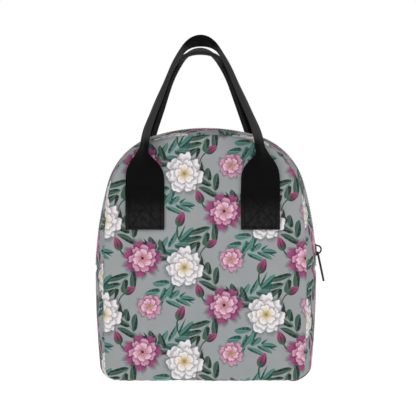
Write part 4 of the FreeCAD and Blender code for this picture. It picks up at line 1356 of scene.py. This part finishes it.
def strap_section(across, along, slope, side, aside, aside_by, untwist):
    """Middle line of the webbing across one place of the route, as (place, point) pairs."""
    height = HINGE + along
    folded = eased((height - FOLD_START) / (FOLD_END - FOLD_START))
    fold = math.pi / 2 * folded
    spine = SPINE_TIGHT + SPINE_LOOSE * (1 - folded) ** 2
    tilt = STRAP_TILT * folded - untwist[side] * eased((along - UNTWIST_START) / UNTWIST_SPAN)
    tilt *= 1 - eased((slope - BROW_SLOPE) / (math.pi / 2 - BROW_SLOPE))
    leaning = lean_at(along)
    back, rise = leant(along)
    deep = spine * (1 - math.cos(fold)) + max(0.0, WEBBING_HALF - spine * fold) * math.sin(fold)
    out = panel_high.y + STRAP_CLEAR + WEBBING_THICK / 2 + deep / 2
    shift = aside * eased(along / aside_by)
    centre = Vector((side * across + ENDS_ASIDE + shift, back - out, HINGE + rise))
    up = Vector((0.0, math.sin(leaning), math.cos(leaning)))
    facing = Vector((0.0, -math.cos(leaning), math.sin(leaning)))
    inward = Vector((-side * math.cos(slope), 0.0, 0.0)) - up * math.sin(slope)
    forward = facing * math.cos(tilt) + inward * math.sin(tilt)
    sideways = inward * math.cos(tilt) - facing * math.sin(tilt)
    apex = centre + forward * (deep / 2)
    points = []
    for place in across_list:
        curl = min(abs(place), spine * fold)
        angle = curl / spine
        rest = abs(place) - curl
        wide = spine * math.sin(angle) + rest * math.cos(fold)
        drop = spine * (1 - math.cos(angle)) + rest * math.sin(fold)
        points.append((place, apex + sideways * math.copysign(wide, place) - forward * drop))
    return points


def puffed(place, height):
    """How far the webbing of a sewn end stands up at a place, between the box's sides and its cross."""
    middle = (BOX_LOW + BOX_HIGH) / 2
    half_tall = (BOX_HIGH - BOX_LOW) / 2
    across, up = abs(place), abs(height - middle)
    cross = abs(across * half_tall - up * BOX_HALF) / math.hypot(BOX_HALF, half_tall)
    if across > BOX_HALF or up > half_tall:
        cross = math.hypot(max(0.0, across - BOX_HALF), max(0.0, up - half_tall))
    side = math.hypot(across - BOX_HALF, max(0.0, up - half_tall))
    end = math.hypot(up - half_tall, max(0.0, across - BOX_HALF))
    held = 1 - math.exp(-(min(cross, side, end) / PUFF_REACH) ** 2)
    loose = eased((WEBBING_HALF - across) / PUFF_EDGE) * eased((FOLD_START - height) / PUFF_TOP)
    return PUFF * held * loose * eased((height - handle_low.z) / PUFF_EDGE)


def panel_lift(section, panel, way):
    """How far a section has to stand out to clear the panel's swollen face."""
    lift = 0.0
    for _, point in section:
        outside = Vector((point.x, way * RAY_START, point.z))
        hit, met, _, _ = panel.ray_cast(outside, Vector((0.0, -way, 0.0)))
        if hit:
            lift = max(lift, abs(met.y) + WEBBING_THICK / 2 + SEAT_GAP - abs(point.y))
    return lift


def webbing_handle(name, panel, way, stand, hang, sheen_from, sheen_to):
    """A whole handle for one panel, standing and hanging as given; way is -1 in front and 1 behind."""
    route = handle_route(**stand)
    sections = [strap_section(across, along, slope, 1, **hang) for across, along, slope in route]
    for across, along, slope in reversed(route[:-1]):
        sections.append(strap_section(across, along, slope, -1, **hang))
    columns, rows = len(across_list) - 1, len(sections) - 1
    piece = plain_grid(name, columns, rows)
    middles = [section[len(ACROSS) - 1][1] for section in sections]
    along = running_length([(after - before).length for before, after in zip(middles, middles[1:])])
    lifts = [panel_lift(section, panel, way) for section in sections]
    cut = piece.data.attributes["cut"]
    for vertex, column, row in grid_points(piece, columns, rows):
        place, point = sections[row][column]
        out = abs(point.y) + lifts[row] + puffed(place, point.z)
        cut.data[vertex.index].vector = (place, along[row] - along[-1] / 2, 0.0)
        vertex.co = (point.x, way * out, point.z)
    body = piece.modifiers.new("webbing", "SOLIDIFY")
    body.thickness = WEBBING_THICK
    body.offset = 0.0
    rounded = piece.modifiers.new("selvedge", "BEVEL")
    rounded.width = SELVEDGE_ROUND
    rounded.segments = 2
    rounded.limit_method = "ANGLE"
    rounded.angle_limit = math.radians(60)
    apply_modifiers(piece)
    lay_cut(piece)
    face_outwards()
    bpy.ops.object.shade_smooth_by_angle(angle=math.radians(50))
    piece.data.materials.append(black_webbing(name, along[-1] / 2, sheen_from, sheen_to))
    return piece


def black_webbing(name, half_long, sheen_from, sheen_to):
    """Black webbing with a painted sheen between two distances from the handle's top, and a little lighter
    in patches at its sewn ends.
    """

    def lighten_where(tree, place):
        _, along = split(tree, place)
        off = abs(along)
        # Painted sheen: the stretch of strap where light falls is made a lighter grey.
        begun = off.rise(sheen_from - SHEEN_FADE, sheen_from)
        painted_sheen = begun * off.rise(sheen_to + SHEEN_FADE, sheen_to)
        patchy = noise(tree, place, 240.0, 3.0).rise(0.3, 0.7) * 0.7 + 0.3
        return painted_sheen + off.rise(half_long - END_LONG, half_long - END_LOW) * patchy * END_LIGHTENED

    return woven_tape(
        name, ink(8, 8, 8), ink(17, 17, 17), rib=0.0011, thread=0.0016, relief=0.5, shine=0.03,
        lighten_where=lighten_where, lightened=LIGHTENED_GREY)


bpy.context.view_layer.update()
# The front handle's legs get a painted sheen where light falls on their outer faces, and the back handle's
# top a painted highlight where it faces up to the light.
front_handle = webbing_handle(
    "front_handle_webbing", front_panel, -1, FRONT_STAND, FRONT_HANG, sheen_from=0.028, sheen_to=0.118)
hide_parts("front_handle_ends", "front_handle_loop")
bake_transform(front_handle)
back_handle = webbing_handle(
    "back_handle_webbing", back_panel, 1, BACK_STAND, BACK_HANG, sheen_from=-SHEEN_FADE, sheen_to=0.018)
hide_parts("back_handle_ends", "back_handle_loop")
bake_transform(back_handle)


# Box-and-cross stitching: black thread, a sewn box with a cross in it on each webbing end, which
# holds the handle to its panel.
STITCH_PROUD = 0.0001
black_thread = thread_material("black thread", ink(4, 4, 4), ink(12, 12, 12), 0.08)


def stitch_places(handle, start, end, way):
    """Stitches in a straight row on a handle's end, from one corner to another."""
    line = Vector((end[0] - start[0], 0.0, end[1] - start[1]))
    count = round(line.length / STITCH_LONG)
    places = []
    for number in range(count):
        share = (number + 0.5) / count
        point = Vector((start[0] + line.x * share, way * RAY_START, start[1] + line.z * share))
        _, met, normal, _ = handle.ray_cast(point, Vector((0.0, -way, 0.0)))
        ahead = (line - normal * line.dot(normal)).normalized()
        places.append(facing_place(met + normal * STITCH_PROUD, ahead, normal))
    return places


def box_stitching(name, handle, way):
    places = []
    for side in (-1, 1):
        middle = side * HANDLE_SIDE + ENDS_ASIDE
        left, right = middle - BOX_HALF, middle + BOX_HALF
        corners = [(left, BOX_LOW), (right, BOX_LOW), (right, BOX_HIGH), (left, BOX_HIGH)]
        for start, end in zip(corners, corners[1:] + corners[:1]):
            places += stitch_places(handle, start, end, way)
        places += stitch_places(handle, corners[0], corners[2], way)
        places += stitch_places(handle, corners[1], corners[3], way)
    piece = copies_of(round_bead(STITCH_HALF), name, places)
    piece.data.materials.append(black_thread)
    return piece


bpy.context.view_layer.update()
front_stitching = box_stitching("front_box_stitching", front_handle, -1)
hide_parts("front_handle_stitching")
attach(front_stitching, "front_flap")
back_stitching = box_stitching("back_box_stitching", back_handle, 1)
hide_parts("back_handle_stitching")
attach(back_stitching, "tub")


# Slider: die-cast zinc, painted black, with the paint thin where it rubs. Two plates on a post
# straddle the teeth, and a bridge on the upper plate holds the pull.
SLIDER_LONG = 0.0125
SLIDER_WIDE = 0.0086
SLIDER_TAPER = 0.88
ROOF = (-0.00015, 0.00145)
SOLE = (-0.00315, -0.00235)
BRIDGE_OUT = 0.00205
BRIDGE_RADIUS = 0.0042
BRIDGE_BAR = 0.00085
BRIDGE_WIDE = 1.5
BRIDGE_FOOT = 0.0004
POST_LONG = 0.004
POST_WIDE = 0.0006
SLIDER_EDGE = 0.0004
SLIDER_TURN = math.radians(4.13)


def painted_zinc():
    material, tree, shader = new_material("painted zinc", 0.35)
    place = object_place(tree)
    speck = noise(tree, place, 900.0, 4.0)
    colour = mixed(tree, speck.rise(0.62, 0.75) * 0.5, ink(14, 14, 15), ink(64, 64, 66))
    colour.into(shader.inputs["Base Color"])
    (speck * 0.3 + 0.2).into(shader.inputs["Roughness"])
    add_relief(tree, shader, speck, 0.08, 0.0002)
    shader.inputs["Metallic"].default_value = 0.2
    return material


zinc = painted_zinc()


def cast_block(out, along, wide, taper):
    """A block standing out between two depths, tapered along its length."""
    bpy.ops.object.select_all(action="DESELECT")
    bpy.ops.mesh.primitive_cube_add(size=2.0)
    block = bpy.context.object
    for vertex in block.data.vertices:
        x, y, z = vertex.co
        half = wide / 2 * (1.0 if z > 0 else taper)
        vertex.co = (out[1] if x > 0 else out[0], y * half, along[1] if z > 0 else along[0])
    return block


def cast_finish(piece, name, place, edge):
    """Round a casting's edges, set it in its place and paint it."""
    rounded = piece.modifiers.new("cast edges", "BEVEL")
    rounded.width = edge
    rounded.segments = 3
    rounded.limit_method = "ANGLE"
    apply_modifiers(piece)
    piece.data.transform(place)
    piece.name = name
    piece.data.name = name
    bpy.ops.object.shade_smooth_by_angle(angle=math.radians(45))
    piece.data.materials.append(zinc)


def cast_place(centre, out, along):
    """A frame with x standing out from the zip and z along the casting."""
    turn = Matrix((out, Vector((0.0, 1.0, 0.0)), along)).transposed()
    return Matrix.Translation(centre) @ turn.to_4x4()


slider_half = SLIDER_LONG / 2
slider_out = Vector((math.cos(SLIDER_TURN), 0.0, math.sin(SLIDER_TURN)))
slider_up = Vector((-slider_out.z, 0.0, slider_out.x))
slider_at = Vector((crest_side[0], 0.0, crest_side[1])) + slider_out * crest_side[2]
slider_place = cast_place(slider_at, slider_out, slider_up)
roof = cast_block(ROOF, (-slider_half, slider_half), SLIDER_WIDE, SLIDER_TAPER)
sole = cast_block(SOLE, (-slider_half, slider_half), SLIDER_WIDE, SLIDER_TAPER)
post = cast_block((SOLE[1], ROOF[0]), (slider_half - POST_LONG, slider_half), POST_WIDE, 1.0)
bpy.ops.object.select_all(action="DESELECT")
bpy.ops.mesh.primitive_torus_add(
    major_radius=BRIDGE_RADIUS, minor_radius=BRIDGE_BAR, major_segments=40, minor_segments=12)
bridge = bpy.context.object
# The ring stands across the plate, and its lower part lies inside the plate.
for vertex in bridge.data.vertices:
    x, y, z = vertex.co
    vertex.co = (max(x + BRIDGE_OUT, ROOF[0] + BRIDGE_FOOT), z * BRIDGE_WIDE, y)
for part in (roof, sole, post, bridge):
    part.select_set(True)
bpy.context.view_layer.objects.active = roof
bpy.ops.object.join()
slider = roof
cast_finish(slider, "slider_casting", slider_place, SLIDER_EDGE)
face_outwards()
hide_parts("zipper_slider")
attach(slider, "slider")


# Pull: a flat tab of the same painted zinc, cast with an eye at its upper end. It hangs loose by that
# eye from the slider's bridge, and widens towards it.
PULL_START = 0.00205
PULL_WALL = 0.0020
PULL_EYE_END = 0.0060
PULL_FREE_END = 0.0044
PULL_EYE = (0.0031, 0.0054)
PULL_EYE_WIDE = 0.0033
PULL_EDGE = 0.0005
pull_low, pull_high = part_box("zipper_pull")
pull_hinge = slider_at + slider_out * BRIDGE_OUT
pull_along = Vector((pull_high.x, 0.0, pull_low.z)) - pull_hinge
pull_long = pull_along.length
pull_along.normalize()
pull_out = Vector((pull_along.z, 0.0, -pull_along.x))
pull_place = cast_place(pull_hinge, pull_out, pull_along)
pull_faces = (-PULL_WALL / 2, PULL_WALL / 2)
pull_taper = PULL_EYE_END / PULL_FREE_END
pull = cast_block(pull_faces, (PULL_START, pull_long), PULL_FREE_END, pull_taper)
eye = cast_block((-PULL_WALL, PULL_WALL), PULL_EYE, PULL_EYE_WIDE, 1.0)
hole = pull.modifiers.new("eye", "BOOLEAN")
hole.operation = "DIFFERENCE"
hole.object = eye
apply_modifiers(pull)
bpy.data.objects.remove(eye)
cast_finish(pull, "pull_casting", pull_place, PULL_EDGE)
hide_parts("zipper_pull")
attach(pull, "pull")


# End stop: a small clip of painted zinc, pressed over both tapes below the slider, which can't run
# off the zip past it.
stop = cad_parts["zipper_end_stop"]
stop.data.materials.clear()
stop.data.materials.append(zinc)


# Studio: a white floor that keeps the bag's soft shadow, an even white surround and two soft lamps.
# The camera stands level in front, a little to the right, as far off as a product photographer's.
FLOOR_HALF = 3.0
FLOOR_LOW = -0.0004
FLOOR_GREY = (0.6, 0.6, 0.6, 1.0)
FLOOR_GLOW = 0.80
WHITE = (1.0, 1.0, 1.0, 1.0)
SURROUND = 0.41
LAMP_AIM = (0.0, 0.0, 0.12)
LAMP_WIDE = 1.2
CAMERA_AT = (0.025, -1.365, 0.150)
CAMERA_AIM = (0.0032, -0.065)
FOCAL_PIXELS = 1326.5
FRAME_PIXELS = 416
HORIZON_DROP = 20.7
bpy.ops.object.select_all(action="DESELECT")
bpy.ops.mesh.primitive_plane_add(size=FLOOR_HALF * 2, location=(0.0, 0.0, FLOOR_LOW))
floor = bpy.context.object
floor.name = "studio_floor"
floor_look, _, floor_shader = new_material("studio floor", 0.9)
floor_shader.inputs["Base Color"].default_value = FLOOR_GREY
floor_shader.inputs["Specular IOR Level"].default_value = 0.0
floor_shader.inputs["Emission Color"].default_value = WHITE
floor_shader.inputs["Emission Strength"].default_value = FLOOR_GLOW
floor.data.materials.append(floor_look)

world = bpy.data.worlds.new("studio surround")
bpy.context.scene.world = world
world.use_nodes = True
sky = world.node_tree
surround = sky.nodes["Background"]
path = sky.nodes.new("ShaderNodeLightPath")
seen = Wire(sky, path.outputs["Is Camera Ray"])
for ray in ("Is Glossy Ray", "Is Transmission Ray"):
    seen = seen.step("MAXIMUM", Wire(sky, path.outputs[ray]))
(seen * (1 - SURROUND) + SURROUND).into(surround.inputs["Strength"])
surround.inputs["Color"].default_value = WHITE


def soft_lamp(name, place, power):
    """A round soft lamp aimed at the middle of the bag."""
    bpy.ops.object.light_add(type="AREA", location=place)
    lamp = bpy.context.object
    lamp.name = name
    lamp.data.shape = "DISK"
    lamp.data.size = LAMP_WIDE
    lamp.data.energy = power
    lamp.rotation_euler = (Vector(LAMP_AIM) - Vector(place)).to_track_quat("-Z", "Y").to_euler()


soft_lamp("key_lamp", (-0.9, -1.6, 1.7), 15)
soft_lamp("fill_lamp", (1.3, -1.2, 1.1), 9)

bpy.ops.object.camera_add(location=CAMERA_AT)
camera = bpy.context.object
turn = math.atan2(CAMERA_AIM[0] - CAMERA_AT[0], CAMERA_AIM[1] - CAMERA_AT[1])
camera.rotation_euler = (math.pi / 2, 0.0, -turn)
camera.data.sensor_width = 36.0
camera.data.lens = FOCAL_PIXELS / FRAME_PIXELS * camera.data.sensor_width
camera.data.shift_y = HORIZON_DROP / FRAME_PIXELS
bpy.context.scene.camera = camera
bpy.context.scene.view_settings.view_transform = "Standard"
